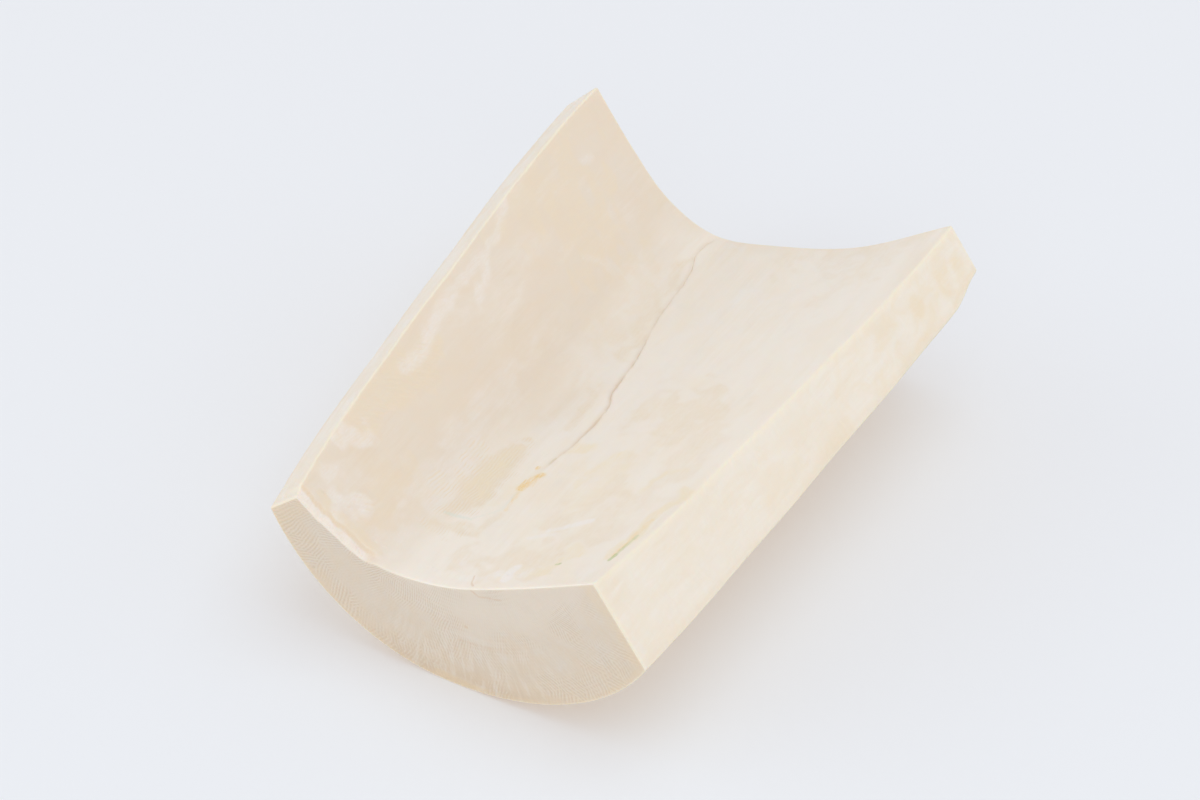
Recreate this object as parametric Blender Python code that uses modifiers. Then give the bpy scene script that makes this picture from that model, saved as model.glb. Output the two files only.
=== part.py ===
"""Mammoth ivory piece: a trough-shaped length of tusk wall, sawn along both sides and across both ends.

The tusk ran along Y and widened towards the back. Its round outside is the belly that the piece rests on,
and the hollow that held the pulp is the trough on top. Metres, +Z up, with the origin under the middle of
the piece, on the surface that it rests on.
"""

import math

import bmesh
import bpy
import numpy as np
from mathutils import Matrix

# Overall length along the tusk, between the two sawn ends
LENGTH = 0.120

# Where the four long edges meet the front and the back end, as (x, z)
FRONT_LOWER_LEFT = (-0.0400, 0.0264)
FRONT_UPPER_LEFT = (-0.0340, 0.0326)
FRONT_UPPER_RIGHT = (0.0269, 0.0381)
FRONT_LOWER_RIGHT = (0.0373, 0.0222)
BACK_LOWER_LEFT = (-0.0459, 0.0395)
BACK_UPPER_LEFT = (-0.0390, 0.0464)
BACK_UPPER_RIGHT = (0.0394, 0.0402)
BACK_LOWER_RIGHT = (0.0464, 0.0296)

# The tusk's own axis over the belly, as (x, z), and the strip of belly worn flat where the piece rests
FRONT_AXIS = (-0.0026, 0.0429)
BACK_AXIS = (0.0004, 0.0466)
FRONT_RADIUS = 0.0428
BACK_RADIUS = 0.04695

# The trough between its two upper edges, at the front and at the back end, as (x, z)
FRONT_TROUGH = [(-0.0278, 0.0279), (-0.0205, 0.0235), (-0.0135, 0.0222), (-0.0020, 0.0240), (0.0120, 0.0302)]
BACK_TROUGH = [(-0.0310, 0.0346), (-0.0224, 0.0244), (-0.0115, 0.0191), (0.0020, 0.0214), (0.0200, 0.0277)]

# How far each long edge bows out of a straight line halfway along, as (x, z), and how much it wavers
LOWER_LEFT_BOW = (-0.0018, -0.0002)
UPPER_LEFT_BOW = (-0.0018, 0.0004)
UPPER_RIGHT_BOW = (0.0009, -0.0014)
LOWER_RIGHT_BOW = (0.0004, -0.0008)
BOW_FULLNESS = 4
EDGE_WAVER = 0.00016
WAVER_LENGTH = 0.034

# How far the lower right edge turns in and up, as (x, z), over its last stretch before the back corner
CORNER_TURN = (-0.0009, 0.0019)
CORNER_LENGTH = 0.010

# The long crack in the trough: its line over the trough as (y, x), and its size where it is widest
CRACK_LINE = [
    (-0.060, -0.0080),
    (-0.040, -0.0062),
    (-0.022, -0.0043),
    (-0.007, -0.0024),
    (0.004, -0.0044),
    (0.015, -0.0055),
    (0.030, -0.0084),
    (0.045, -0.0098),
    (0.055, -0.0117),
    (0.060, -0.0110),
]
CRACK_START = -0.024
CRACK_END = 0.0590
CRACK_FADE = 0.012
CRACK_WIDTH = 0.0008
CRACK_DEPTH = 0.0010
CRACK_STEP = 0.0003
CRACK_CLOSED = 0.0002

# The chipped ledge along the left of the trough's front edge
LEDGE_WIDTH = 0.0019
LEDGE_WALL = 0.0006
LEDGE_DEPTH = 0.0010
LEDGE_RIGHT = -0.0170
LEDGE_FADE = 0.0040

# Rounding of every sawn edge, and how finely each stretch of the outline is divided
EDGE_ROUND = 0.0006
ROUND_SEGMENTS = 2
STATIONS = 31
BELLY_STEPS = 26
SIDE_STEPS = 3
TROUGH_STEPS = 13

IVORY_COLOR = (0.84, 0.75, 0.62, 1.0)
IVORY_ROUGHNESS = 0.45


def clear_scene():
    for obj in list(bpy.data.objects):
        bpy.data.objects.remove(obj, do_unlink=True)


def blend(front, back, along):
    """A value between the front end's and the back end's, with along going from 0 to 1."""
    return np.asarray(front) * (1.0 - along) + np.asarray(back) * along


def smooth_step(value):
    value = min(max(value, 0.0), 1.0)
    return value * value * (3.0 - 2.0 * value)


def smooth_line(points, steps=12):
    """A Catmull-Rom curve through the points, as an array of points."""
    points = np.asarray(points, float)
    ends = np.vstack([2 * points[0] - points[1], points, 2 * points[-1] - points[-2]])
    curve = []
    for before, start, end, after in zip(ends, ends[1:], ends[2:], ends[3:]):
        for t in np.linspace(0.0, 1.0, steps, endpoint=False):
            bend = 2 * before - 5 * start + 4 * end - after
            twist = 3 * start - before - 3 * end + after
            curve.append(0.5 * (2 * start + (end - before) * t + bend * t**2 + twist * t**3))
    return np.array(curve + [points[-1]])


def edge_point(front, back, bow, along, phase):
    """The point of one long edge at a station, with its bow and its slight waver."""
    full = 1.0 - abs(2 * along - 1) ** BOW_FULLNESS
    waver = EDGE_WAVER * math.sin(2 * math.pi * along * LENGTH / WAVER_LENGTH + phase)
    return blend(front, back, along) + np.asarray(bow) * full + waver * full


def long_edges(along):
    """Lower left, lower right, upper right and upper left corner of the section at a station."""
    lower_left = edge_point(FRONT_LOWER_LEFT, BACK_LOWER_LEFT, LOWER_LEFT_BOW, along, 0.4)
    upper_left = edge_point(FRONT_UPPER_LEFT, BACK_UPPER_LEFT, UPPER_LEFT_BOW, along, 2.1)
    upper_right = edge_point(FRONT_UPPER_RIGHT, BACK_UPPER_RIGHT, UPPER_RIGHT_BOW, along, 3.9)
    lower_right = edge_point(FRONT_LOWER_RIGHT, BACK_LOWER_RIGHT, LOWER_RIGHT_BOW, along, 5.2)
    to_back = (1.0 - along) * LENGTH
    lower_right += np.asarray(CORNER_TURN) * (1.0 - smooth_step(to_back / CORNER_LENGTH))
    return lower_left, lower_right, upper_right, upper_left


def belly_points(start, end, along):
    """The round outside of the tusk from the lower left edge to the lower right one, flat where it rests."""
    axis = blend(FRONT_AXIS, BACK_AXIS, along)
    radius = blend(FRONT_RADIUS, BACK_RADIUS, along)
    out = [start - axis, end - axis]
    angles = [math.atan2(z, x) % (2 * math.pi) for x, z in out]
    reach = [math.hypot(x, z) - radius for x, z in out]
    points = []
    for share in np.linspace(0.0, 1.0, BELLY_STEPS + 1):
        angle = angles[0] + (angles[1] - angles[0]) * share
        near_start = 1.0 - smooth_step(2 * share)
        near_end = smooth_step(2 * share - 1)
        distance = radius + reach[0] * near_start + reach[1] * near_end
        point = axis + distance * np.array([math.cos(angle), math.sin(angle)])
        points.append((point[0], max(point[1], 0.0)))
    return points


def straight_points(start, end, steps):
    """Points on the line after its start and before its end."""
    return [tuple(start + (end - start) * i / steps) for i in range(1, steps)]


def crack_x(y):
    line = smooth_line(CRACK_LINE)
    return float(np.interp(y, line[:, 0], line[:, 1]))


def crack_opening(y):
    """From 0, closed, to 1, at its widest."""
    inside = smooth_step((y - CRACK_START) / CRACK_FADE)
    return inside * smooth_step((CRACK_END - y) / (CRACK_FADE / 3))


def ledge_drop(x, y):
    """How far the chip along the front edge lowers the trough."""
    from_front = y + LENGTH / 2
    if from_front > LEDGE_WIDTH + LEDGE_WALL / 2:
        return 0.0
    slope = 1.0 - 0.45 * from_front / LEDGE_WIDTH
    return LEDGE_DEPTH * slope * smooth_step((LEDGE_RIGHT - x) / LEDGE_FADE)


def spread(start, end, steps, trough):
    """The x values that divide the trough's line evenly between two of its points."""
    inside = trough[(trough[:, 0] > start) & (trough[:, 0] < end)]
    ends = [(value, np.interp(value, trough[:, 0], trough[:, 1])) for value in (start, end)]
    line = np.vstack([ends[0], inside, ends[1]])
    length = np.concatenate([[0.0], np.cumsum(np.hypot(*np.diff(line, axis=0).T))])
    return np.interp(np.linspace(0.0, length[-1], steps + 1), length, line[:, 0])


def trough_points(left, right, along, y):
    """The trough from the right edge to the left one, with the crack's three points between its two halves."""
    middle = blend(FRONT_TROUGH, BACK_TROUGH, along)
    trough = smooth_line(np.vstack([left, middle, right]))
    opening = crack_opening(y)
    half = max(CRACK_WIDTH * opening, CRACK_CLOSED) / 2
    crack = crack_x(y)
    left_half = spread(left[0], crack - half, TROUGH_STEPS, trough)
    right_half = spread(crack + half, right[0], TROUGH_STEPS, trough)
    points = []
    for x in right_half[::-1]:
        lip = CRACK_STEP * opening * math.exp(-(x - crack - half) / (4 * CRACK_WIDTH))
        points.append((x, np.interp(x, trough[:, 0], trough[:, 1]) + lip))
    points.append((crack, np.interp(crack, trough[:, 0], trough[:, 1]) - CRACK_DEPTH * opening))
    points += [(x, np.interp(x, trough[:, 0], trough[:, 1])) for x in left_half[::-1]]
    return [(x, z - ledge_drop(x, y)) for x, z in points]


def section(y):
    """The closed outline of the piece at one station, as (x, z), and the places of its four corners in it."""
    along = y / LENGTH + 0.5
    lower_left, lower_right, upper_right, upper_left = long_edges(along)
    belly = belly_points(lower_left, lower_right, along)
    trough = trough_points(upper_left, upper_right, along, y)
    right = straight_points(lower_right, upper_right, SIDE_STEPS)
    left = straight_points(np.array(trough[-1]), lower_left, SIDE_STEPS)
    corners = [0, len(belly) - 1, len(belly) + len(right), len(belly) + len(right) + len(trough) - 1]
    return belly + right + trough + left, corners


def station_places():
    """The Y of each station: even ones, and two more that shape the ledge's wall."""
    even = list(np.linspace(-LENGTH / 2, LENGTH / 2, STATIONS))
    wall = [LEDGE_WIDTH - LENGTH / 2, LEDGE_WIDTH + LEDGE_WALL - LENGTH / 2]
    return sorted(even + wall)


def loft_sections(name):
    """A closed mesh through the sections, with its sawn edges marked for rounding."""
    mesh = bmesh.new()
    rings = []
    for y in station_places():
        outline, corners = section(y)
        rings.append([mesh.verts.new((x, y, z)) for x, z in outline])
    count = len(rings[0])
    for near, far in zip(rings, rings[1:]):
        for i in range(count):
            j = (i + 1) % count
            mesh.faces.new((near[i], near[j], far[j], far[i]))
    mesh.faces.new(rings[0][::-1])
    mesh.faces.new(rings[-1])
    mark_sawn_edges(mesh, rings, corners)
    bmesh.ops.recalc_face_normals(mesh, faces=mesh.faces)
    data = bpy.data.meshes.new(name)
    mesh.to_mesh(data)
    mesh.free()
    return data


def mark_sawn_edges(mesh, rings, corners):
    weight = mesh.edges.layers.float.new("bevel_weight_edge")
    for ring in (rings[0], rings[-1]):
        for start, end in zip(ring, ring[1:] + ring[:1]):
            mesh.edges.get((start, end))[weight] = 1.0
    for near, far in zip(rings, rings[1:]):
        for corner in corners:
            mesh.edges.get((near[corner], far[corner]))[weight] = 1.0


def ivory_material():
    material = bpy.data.materials.new("ivory")
    material.use_nodes = True
    shader = material.node_tree.nodes["Principled BSDF"]
    shader.inputs["Base Color"].default_value = IVORY_COLOR
    shader.inputs["Roughness"].default_value = IVORY_ROUGHNESS
    shader.inputs["Metallic"].default_value = 0.0
    return material


def add_ivory_piece(collection):
    piece = bpy.data.objects.new("ivory_piece", loft_sections("ivory_piece"))
    collection.objects.link(piece)
    piece.data.materials.append(ivory_material())
    rounding = piece.modifiers.new("Rounded sawn edges", "BEVEL")
    rounding.limit_method = "WEIGHT"
    rounding.width = EDGE_ROUND
    rounding.segments = ROUND_SEGMENTS
    rounding.use_clamp_overlap = False
    piece.data.shade_smooth()
    piece.data.set_sharp_from_angle(angle=math.radians(35))
    return piece


def centre_over_origin(piece):
    """Moves the piece sideways until its box is centred on the origin."""
    graph = bpy.context.evaluated_depsgraph_get()
    sides = [corner[0] for corner in piece.evaluated_get(graph).bound_box]
    piece.data.transform(Matrix.Translation((-(min(sides) + max(sides)) / 2, 0.0, 0.0)))


def main():
    clear_scene()
    collection = bpy.data.collections.new("Mammoth ivory piece")
    bpy.context.scene.collection.children.link(collection)
    piece = add_ivory_piece(collection)
    centre_over_origin(piece)


main()
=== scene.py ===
"""Mammoth ivory piece, dressed: a sawn and polished length of tusk wall on a pale studio floor.

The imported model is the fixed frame. The surface here repeats its sections at a finer pitch, with rounded
and nicked edges, the long crack, the chipped ledge and a low relief, and gets one finish for each kind of
surface: the polished hollow, the sawn sides, the sawn ends and the outer bark. Metres, +Z up.
"""

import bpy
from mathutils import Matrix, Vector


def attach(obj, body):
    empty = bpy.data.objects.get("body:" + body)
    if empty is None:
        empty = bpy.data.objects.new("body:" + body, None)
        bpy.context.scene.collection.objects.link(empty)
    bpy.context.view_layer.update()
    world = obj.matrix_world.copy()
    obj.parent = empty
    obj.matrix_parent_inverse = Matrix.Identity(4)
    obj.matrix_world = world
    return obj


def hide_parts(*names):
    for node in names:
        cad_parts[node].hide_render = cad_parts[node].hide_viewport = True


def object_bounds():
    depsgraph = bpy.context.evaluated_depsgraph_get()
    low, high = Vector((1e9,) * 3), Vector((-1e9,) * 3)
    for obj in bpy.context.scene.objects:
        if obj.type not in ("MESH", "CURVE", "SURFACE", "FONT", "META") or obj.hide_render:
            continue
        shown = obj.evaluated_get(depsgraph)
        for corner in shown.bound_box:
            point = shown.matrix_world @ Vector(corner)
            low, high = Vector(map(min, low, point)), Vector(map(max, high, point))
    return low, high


bl_info = {
    "name": "Mammoth Ivory Piece",
    "version": (1, 0, 0),
    "blender": (4, 5, 0),
    "location": "View3D > Sidebar > Ivory",
    "description": "Makes a sawn piece of mammoth ivory and a pale studio to look at it in",
    "category": "Object",
}

import math

import bpy
import numpy as np
from mathutils import Vector

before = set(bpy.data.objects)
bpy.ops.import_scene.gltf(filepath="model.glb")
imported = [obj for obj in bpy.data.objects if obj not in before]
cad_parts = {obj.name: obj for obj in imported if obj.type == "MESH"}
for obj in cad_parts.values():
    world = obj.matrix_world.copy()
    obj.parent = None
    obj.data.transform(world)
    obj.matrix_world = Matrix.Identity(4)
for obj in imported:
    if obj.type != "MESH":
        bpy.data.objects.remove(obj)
CAD_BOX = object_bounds()

LENGTH = CAD_BOX[1].y - CAD_BOX[0].y

# The four long edges: where each starts at the front and ends at the back, as (x, z), how far it bows
# between the two, and the phase of its slight waver
LOWER_LEFT = ((-0.0400, 0.0264), (-0.0459, 0.0395), (-0.0018, -0.0002), 0.4)
LOWER_RIGHT = ((0.0373, 0.0222), (0.0464, 0.0296), (0.0004, -0.0008), 5.2)
UPPER_RIGHT = ((0.0269, 0.0381), (0.0394, 0.0402), (0.0009, -0.0014), 3.9)
UPPER_LEFT = ((-0.0340, 0.0326), (-0.0390, 0.0464), (-0.0018, 0.0004), 2.1)
BOW_FULLNESS = 4
EDGE_WAVER = 0.00016
WAVER_LENGTH = 0.034

# How the lower right edge turns in close to the back end
CORNER_TURN = (-0.0009, 0.0019)
CORNER_LENGTH = 0.010

# The tusk's own axis over the belly, as (x, z), the radius of its round outside, and the one, half way
# through the wall, at which the growth lines are as far apart as they are said to be
FRONT_AXIS = (-0.0026, 0.0429)
BACK_AXIS = (0.0004, 0.0466)
FRONT_RADIUS = 0.0428
BACK_RADIUS = 0.04695
GROWTH_RADIUS = 0.036

# The trough between its two upper edges, at the front and at the back end, as (x, z)
FRONT_TROUGH = [
    (-0.0278, 0.0279), (-0.0205, 0.0235), (-0.0135, 0.0222), (-0.0020, 0.0240), (0.0120, 0.0302),
]
BACK_TROUGH = [
    (-0.0310, 0.0346), (-0.0224, 0.0244), (-0.0115, 0.0191), (0.0020, 0.0214), (0.0200, 0.0277),
]

# How much the rounding of the long edges varies, as a share of it, and over which length this dies away
# towards the ends
EDGE_WEAR = 0.32
WEAR_FADE = 0.004

# The small knocks on each long edge: their number, how far from the middle they are spread, as a share of
# the length, and the limits of their lengths and of their depths, which are shares of the rounding
NICKS = 5
NICK_REACH = 0.46
NICK_LENGTHS = (0.0006, 0.0016)
NICK_DEPTHS = (0.1, 0.5)

# The long crack in the trough: its line as (y, x), and where it opens and closes
CRACK_LINE = [
    (-0.060, -0.0080),
    (-0.040, -0.0062),
    (-0.022, -0.0043),
    (-0.015, -0.0029),
    (-0.007, -0.0023),
    (-0.001, -0.0027),
    (0.004, -0.0044),
    (0.015, -0.0055),
    (0.023, -0.0071),
    (0.030, -0.0084),
    (0.045, -0.0098),
    (0.0505, -0.0114),
    (0.055, -0.0117),
    (0.060, -0.0104),
]
CRACK_START = -0.0252
CRACK_END = 0.0594
CRACK_FADE = 0.0085
CRACK_END_FADE = CRACK_FADE / 3

# Over which stretch of Y the crack turns from clear to faint, how faint, and how it strays and wears
CRACK_CLEAR = (0.006, 0.026)
CRACK_FAINT = 0.5
CRACK_JITTER = 0.00011
CRACK_WEAR = 0.35
CRACK_HOLLOWNESS = 1.7

# The dirt in the crack and the painted shade beside its lower, left side: their level, and how far they
# reach to the left and to the right, in widths of the crack
DIRT_AND_SHADE_LEVEL = 0.85
DIRT_AND_SHADE_REACH = (0.70, 0.44)

# How far the columns of points beside the crack are from it, and the share of the others to its right
CRACK_COLUMNS = (0.0016, 0.0011, 0.00075, 0.0005, 0.00034, 0.00024, 0.00017, 0.00011, 0.00005)
RIGHT_SHARE = 0.57

# The chipped ledge along the left of the trough's front edge: its floor, its wall and its right end, how
# much its width wavers, and how its floor rises backwards and is rough, as shares of its depth
LEDGE_WIDTH = 0.0019
LEDGE_WALL = 0.0012
LEDGE_RIGHT = -0.0170
LEDGE_FADE = 0.0040
LEDGE_REACH = 0.0042
LEDGE_WAVER = 0.14
LEDGE_RISE = 0.3
LEDGE_ROUGHNESS = 0.08

# The small notch in the ledge
NOTCH_X = -0.0298
NOTCH_WIDTH = 0.0007
NOTCH_LENGTH = 0.0011
NOTCH_DEPTH = 0.0004

# How widely a stain's outline wanders, and how far it strays from its stroke, in soft borders of the stroke
STRAY_SIZE = 0.012
STRAY_ACROSS = 0.28
STRAY_ALONG = 0.6

# Where no crack and no bark is near, and how far from the edges the low relief sets in
NO_CRACK = 1.0
NO_BARK = 0.02
RELIEF_BORDER = 0.0022

# How finely the surface is divided
LONG_STEPS = 176
SIDE_STEPS = 20
ARC_HALF = 3
RIM_STEPS = 6
LEDGE_ROW = 0.00022
EVEN_ROWS = 186
DENSE = 240
SHARP_ANGLE = math.radians(40)

# The regions of the surface, by the numbers that the mesh gives its faces, and the finish of each
BARK, RIGHT_SIDE, HOLLOW, LEFT_SIDE, ENDS = range(5)
FINISHES = {
    "Polished hollow": (HOLLOW,),
    "Sawn side": (RIGHT_SIDE, LEFT_SIDE),
    "Sawn end": (ENDS,),
    "Outer bark": (BARK,),
}

# Which of the axes X, Y and Z the marks of each face are drawn in
HOLLOW_FACE = (1.0, 1.0, 0.0)
SIDE_FACE = (0.0, 1.0, 1.0)
END_FACE = (1.0, 0.0, 1.0)

# How ivory bends light and lets it through, and how far the grain changes its red, green and blue
IVORY_SHADER = {
    "IOR": 1.54,
    "Subsurface Weight": 0.22,
    "Subsurface Radius": (1.0, 0.62, 0.36),
    "Subsurface Scale": 0.0014,
}
GRAIN_TINT = (0.5, 1.0, 1.9)

# The kinds of socket that the node groups have
SOCKETS = {
    "number": "NodeSocketFloat",
    "count": "NodeSocketInt",
    "colour": "NodeSocketColor",
    "vector": "NodeSocketVector",
    "shape": "NodeSocketGeometry",
    "material": "NodeSocketMaterial",
}

# The camera, from the photograph's perspective
CAMERA_PLACE = (0.2277, -0.4195, 0.4244)
CAMERA_AIM = (-0.00465, -0.00035, 0.0223)
LENS = 99.0
SENSOR = 36.0

# The pale sheet under the piece: half its side, and how far its tone drifts
FLOOR_HALF = 2.5
FLOOR_DRIFT = 0.985

# The softboxes of the studio: where each stands, its two sides, and its power in watts
SOFTBOXES = {
    "Overhead": ((0.30, 0.15, 1.45), 1.3, 1.3, 5.6),
    "Left": ((-1.14, -0.63, 0.50), 1.4, 0.9, 4.5),
    "Front": ((0.63, -1.14, 0.50), 1.4, 0.9, 3.3),
    "Right": ((1.14, 0.63, 0.50), 1.4, 0.9, 1.9),
}


def blend(front, back, along):
    """A value between the front end's and the back end's, with along going from 0 to 1."""
    return np.asarray(front) * (1.0 - along) + np.asarray(back) * along


def smooth_step(value):
    """0 below 0, 1 above 1, and a smooth step in between."""
    value = np.clip(value, 0.0, 1.0)
    return value * value * (3.0 - 2.0 * value)


def smooth_line(points, steps=40):
    """A Catmull-Rom curve through the points, as an array of points."""
    points = np.asarray(points, float)
    ends = np.vstack([2 * points[0] - points[1], points, 2 * points[-1] - points[-2]])
    t = np.linspace(0.0, 1.0, steps, endpoint=False)[:, None]
    curve = []
    for before, start, end, after in zip(ends, ends[1:], ends[2:], ends[3:]):
        bend = 2 * before - 5 * start + 4 * end - after
        twist = 3 * start - before - 3 * end + after
        curve.append(0.5 * (2 * start + (end - before) * t + bend * t**2 + twist * t**3))
    return np.vstack(curve + [points[-1:]])


class Waver:
    """A smooth wandering value between about -1 and 1 along a line, the same on each run."""

    SHORTENING = 0.9
    LOWERING = 0.7
    SWING = 1.6

    def __init__(self, seed, longest, waves):
        draw = np.random.default_rng(seed)
        orders = np.arange(1, waves + 1)
        self.lengths = longest / orders**self.SHORTENING
        self.phases = draw.uniform(0, math.tau, waves)
        self.heights = draw.uniform(0.5, 1.0, waves) / orders**self.LOWERING
        self.heights /= self.heights.sum()

    def __call__(self, place):
        turns = math.tau * np.asarray(place, float)[..., None] / self.lengths + self.phases
        return (np.sin(turns) * self.heights).sum(-1) * self.SWING


class Drift:
    """Smooth wandering over a plane, the same on each run, so that a drawn outline looks grown."""

    def __init__(self, seed, size, layers=3, waves=15):
        draw = np.random.default_rng(seed)
        lengths = size / 2 ** draw.uniform(0, layers, waves)
        turns = draw.uniform(0, math.tau, waves)
        self.waves = math.tau / lengths[:, None] * np.column_stack([np.cos(turns), np.sin(turns)])
        self.phases = draw.uniform(0, math.tau, waves)
        self.heights = lengths / math.sqrt((lengths**2).sum() / 2)

    def __call__(self, places):
        return (np.sin(places @ self.waves.T + self.phases) * self.heights).sum(-1)


def edge_point(edge, along):
    """The point of one long edge at a station, with its bow and its slight waver."""
    front, back, bow, phase = edge
    full = 1.0 - abs(2 * along - 1) ** BOW_FULLNESS
    waver = EDGE_WAVER * math.sin(math.tau * along * LENGTH / WAVER_LENGTH + phase)
    return blend(front, back, along) + np.asarray(bow) * full + waver * full


def long_edges(along):
    """Lower left, lower right, upper right and upper left corner of the section at a station."""
    edges = (LOWER_LEFT, LOWER_RIGHT, UPPER_RIGHT, UPPER_LEFT)
    lower_left, lower_right, upper_right, upper_left = (edge_point(edge, along) for edge in edges)
    to_back = (1.0 - along) * LENGTH
    lower_right = lower_right + np.asarray(CORNER_TURN) * (1.0 - smooth_step(to_back / CORNER_LENGTH))
    return lower_left, lower_right, upper_right, upper_left


def belly_line(start, end, along):
    """The round outside from the lower left edge to the lower right one, flat where the piece rests."""
    axis = blend(FRONT_AXIS, BACK_AXIS, along)
    radius = blend(FRONT_RADIUS, BACK_RADIUS, along)
    first, last = start - axis, end - axis
    turn_first = math.atan2(first[1], first[0]) % math.tau
    turn_last = math.atan2(last[1], last[0]) % math.tau
    share = np.linspace(0.0, 1.0, DENSE)
    turn = turn_first + (turn_last - turn_first) * share
    reach = (math.hypot(*first) - radius) * (1.0 - smooth_step(2 * share))
    reach += (math.hypot(*last) - radius) * smooth_step(2 * share - 1)
    line = axis + (radius + reach)[:, None] * np.column_stack([np.cos(turn), np.sin(turn)])
    line[:, 1] = np.maximum(line[:, 1], 0.0)
    return line


def straight_line(start, end):
    return start + (end - start) * np.linspace(0.0, 1.0, DENSE)[:, None]


def trough_line(left, right, along):
    """The trough from the left edge to the right one."""
    return smooth_line(np.vstack([left, blend(FRONT_TROUGH, BACK_TROUGH, along), right]))


class IvoryShape:
    """The surface of the piece, section by section, from the sizes that the panel shows."""

    def __init__(self, sizes):
        self.sizes = sizes
        self.crack_line = smooth_line(CRACK_LINE)
        self.crack_jitter = Waver(sizes.seed + 1, longest=0.007, waves=7)
        self.crack_wear = Waver(sizes.seed + 2, longest=0.013, waves=6)
        self.ledge_waver = Waver(sizes.seed + 3, longest=0.009, waves=6)
        self.ledge_floor = Waver(sizes.seed + 4, longest=0.004, waves=5)
        self.edge_wavers = [Waver(sizes.seed + 10 + i, longest=0.021, waves=7) for i in range(4)]
        self.nicks = self.make_nicks()

    def make_nicks(self):
        """Small knocks along each of the four long edges, as (y, length, depth)."""
        draw = np.random.default_rng(self.sizes.seed + 20)
        span = (-NICK_REACH * LENGTH, NICK_REACH * LENGTH)
        limits = (span, NICK_LENGTHS, NICK_DEPTHS)
        return [[[draw.uniform(*pair) for pair in limits] for _ in range(NICKS)] for _ in range(4)]

    def edge_cut(self, corner, y):
        """How far the rounding of one long edge reaches from its corner at a station."""
        wear = EDGE_WEAR * (1.0 + float(self.edge_wavers[corner](y)))
        for place, length, depth in self.nicks[corner]:
            wear += depth * math.exp(-(((y - place) / length) ** 2))
        to_end = LENGTH / 2 - abs(y)
        return self.sizes.edge_round * (1.0 + max(wear, 0.0) * smooth_step(to_end / WEAR_FADE))

    def crack_x(self, y):
        """Where the crack's line is at a station."""
        jitter = CRACK_JITTER * self.crack_jitter(y) * self.crack_opening(y)
        return float(np.interp(y, self.crack_line[:, 0], self.crack_line[:, 1]) + jitter)

    def crack_opening(self, y):
        """From 0, closed, to 1, at its widest."""
        inside = smooth_step((y - CRACK_START) / CRACK_FADE)
        return float(inside * smooth_step((CRACK_END - y) / CRACK_END_FADE))

    def crack_clearness(self, y):
        """1 along the near half of the crack, where it shows best, and less towards the back end."""
        start, end = CRACK_CLEAR
        return 1.0 - (1.0 - CRACK_FAINT) * float(smooth_step((y - start) / (end - start)))

    def crack_offset(self, away, y):
        """How far the crack lowers the trough, or its right lip raises it, this far from its line."""
        sizes = self.sizes
        opening = self.crack_opening(y) * self.crack_clearness(y)
        wear = 1.0 + CRACK_WEAR * float(self.crack_wear(y))
        half = max(sizes.crack_width * opening * wear / 2, 1e-5)
        groove = np.clip(1.0 - np.abs(away) / half, 0.0, 1.0) ** CRACK_HOLLOWNESS
        lip = np.where(away > 0, np.exp(-np.maximum(away - half, 0.0) / sizes.crack_lip_reach), 0.0)
        return opening * (sizes.crack_step * lip * (1 - groove) - sizes.crack_depth * wear * groove)

    def ledge_width(self, x):
        return LEDGE_WIDTH * (1.0 + LEDGE_WAVER * self.ledge_waver(x))

    def ledge_inside(self, x, y):
        """1 on the floor of the chip along the front edge, and 0 behind its wall and past its right end."""
        from_front = y + LENGTH / 2
        inside = 1.0 - smooth_step((from_front - self.ledge_width(x)) / LEDGE_WALL + 0.5)
        return inside * smooth_step((LEDGE_RIGHT - x) / LEDGE_FADE)

    def ledge_drop(self, x, y):
        """How far the chip along the front edge lowers the trough."""
        from_front = y + LENGTH / 2
        floor = 1.0 - LEDGE_RISE * np.clip(from_front / self.ledge_width(x), 0.0, 1.0)
        floor = floor + LEDGE_ROUGHNESS * self.ledge_floor(x + 2 * y)
        drop = self.sizes.ledge_depth * floor * self.ledge_inside(x, y)
        notch = np.exp(-(((x - NOTCH_X) / NOTCH_WIDTH) ** 2) - (from_front / NOTCH_LENGTH) ** 2)
        return drop + NOTCH_DEPTH * notch

    def stretches(self, y):
        """The four stretches of the outline at a station, each as a dense line, in turn about the piece."""
        along = y / LENGTH + 0.5
        lower_left, lower_right, upper_right, upper_left = long_edges(along)
        trough = trough_line(upper_left, upper_right, along)
        trough[:, 1] -= self.ledge_drop(trough[:, 0], y)
        belly = belly_line(lower_left, lower_right, along)
        right = straight_line(lower_right, upper_right)
        left = straight_line(trough[0], lower_left)
        return [belly, right, trough[::-1], left]

    def hollow_height(self, x, y):
        """The trough's height at a place, before its fine relief."""
        along = y / LENGTH + 0.5
        edges = long_edges(along)
        line = trough_line(edges[3], edges[2], along)
        return float(np.interp(x, line[:, 0], line[:, 1]))

    def trough_places(self, line, start, end, steps, y):
        """The x of each column over the trough, close together beside the crack."""
        crack = self.crack_x(y)
        reach = CRACK_COLUMNS[0]
        beside = [crack + away for away in CRACK_COLUMNS[1:]] + [crack]
        beside += [crack - away for away in CRACK_COLUMNS[::-1]]
        rest = steps - len(beside)
        right_steps = round(rest * RIGHT_SHARE)
        right = spread(line, start, crack + reach, right_steps)
        left = spread(line, crack - reach, end, rest - right_steps)
        return np.concatenate([right, beside[:-1], left[:-1]])[1:]

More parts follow.
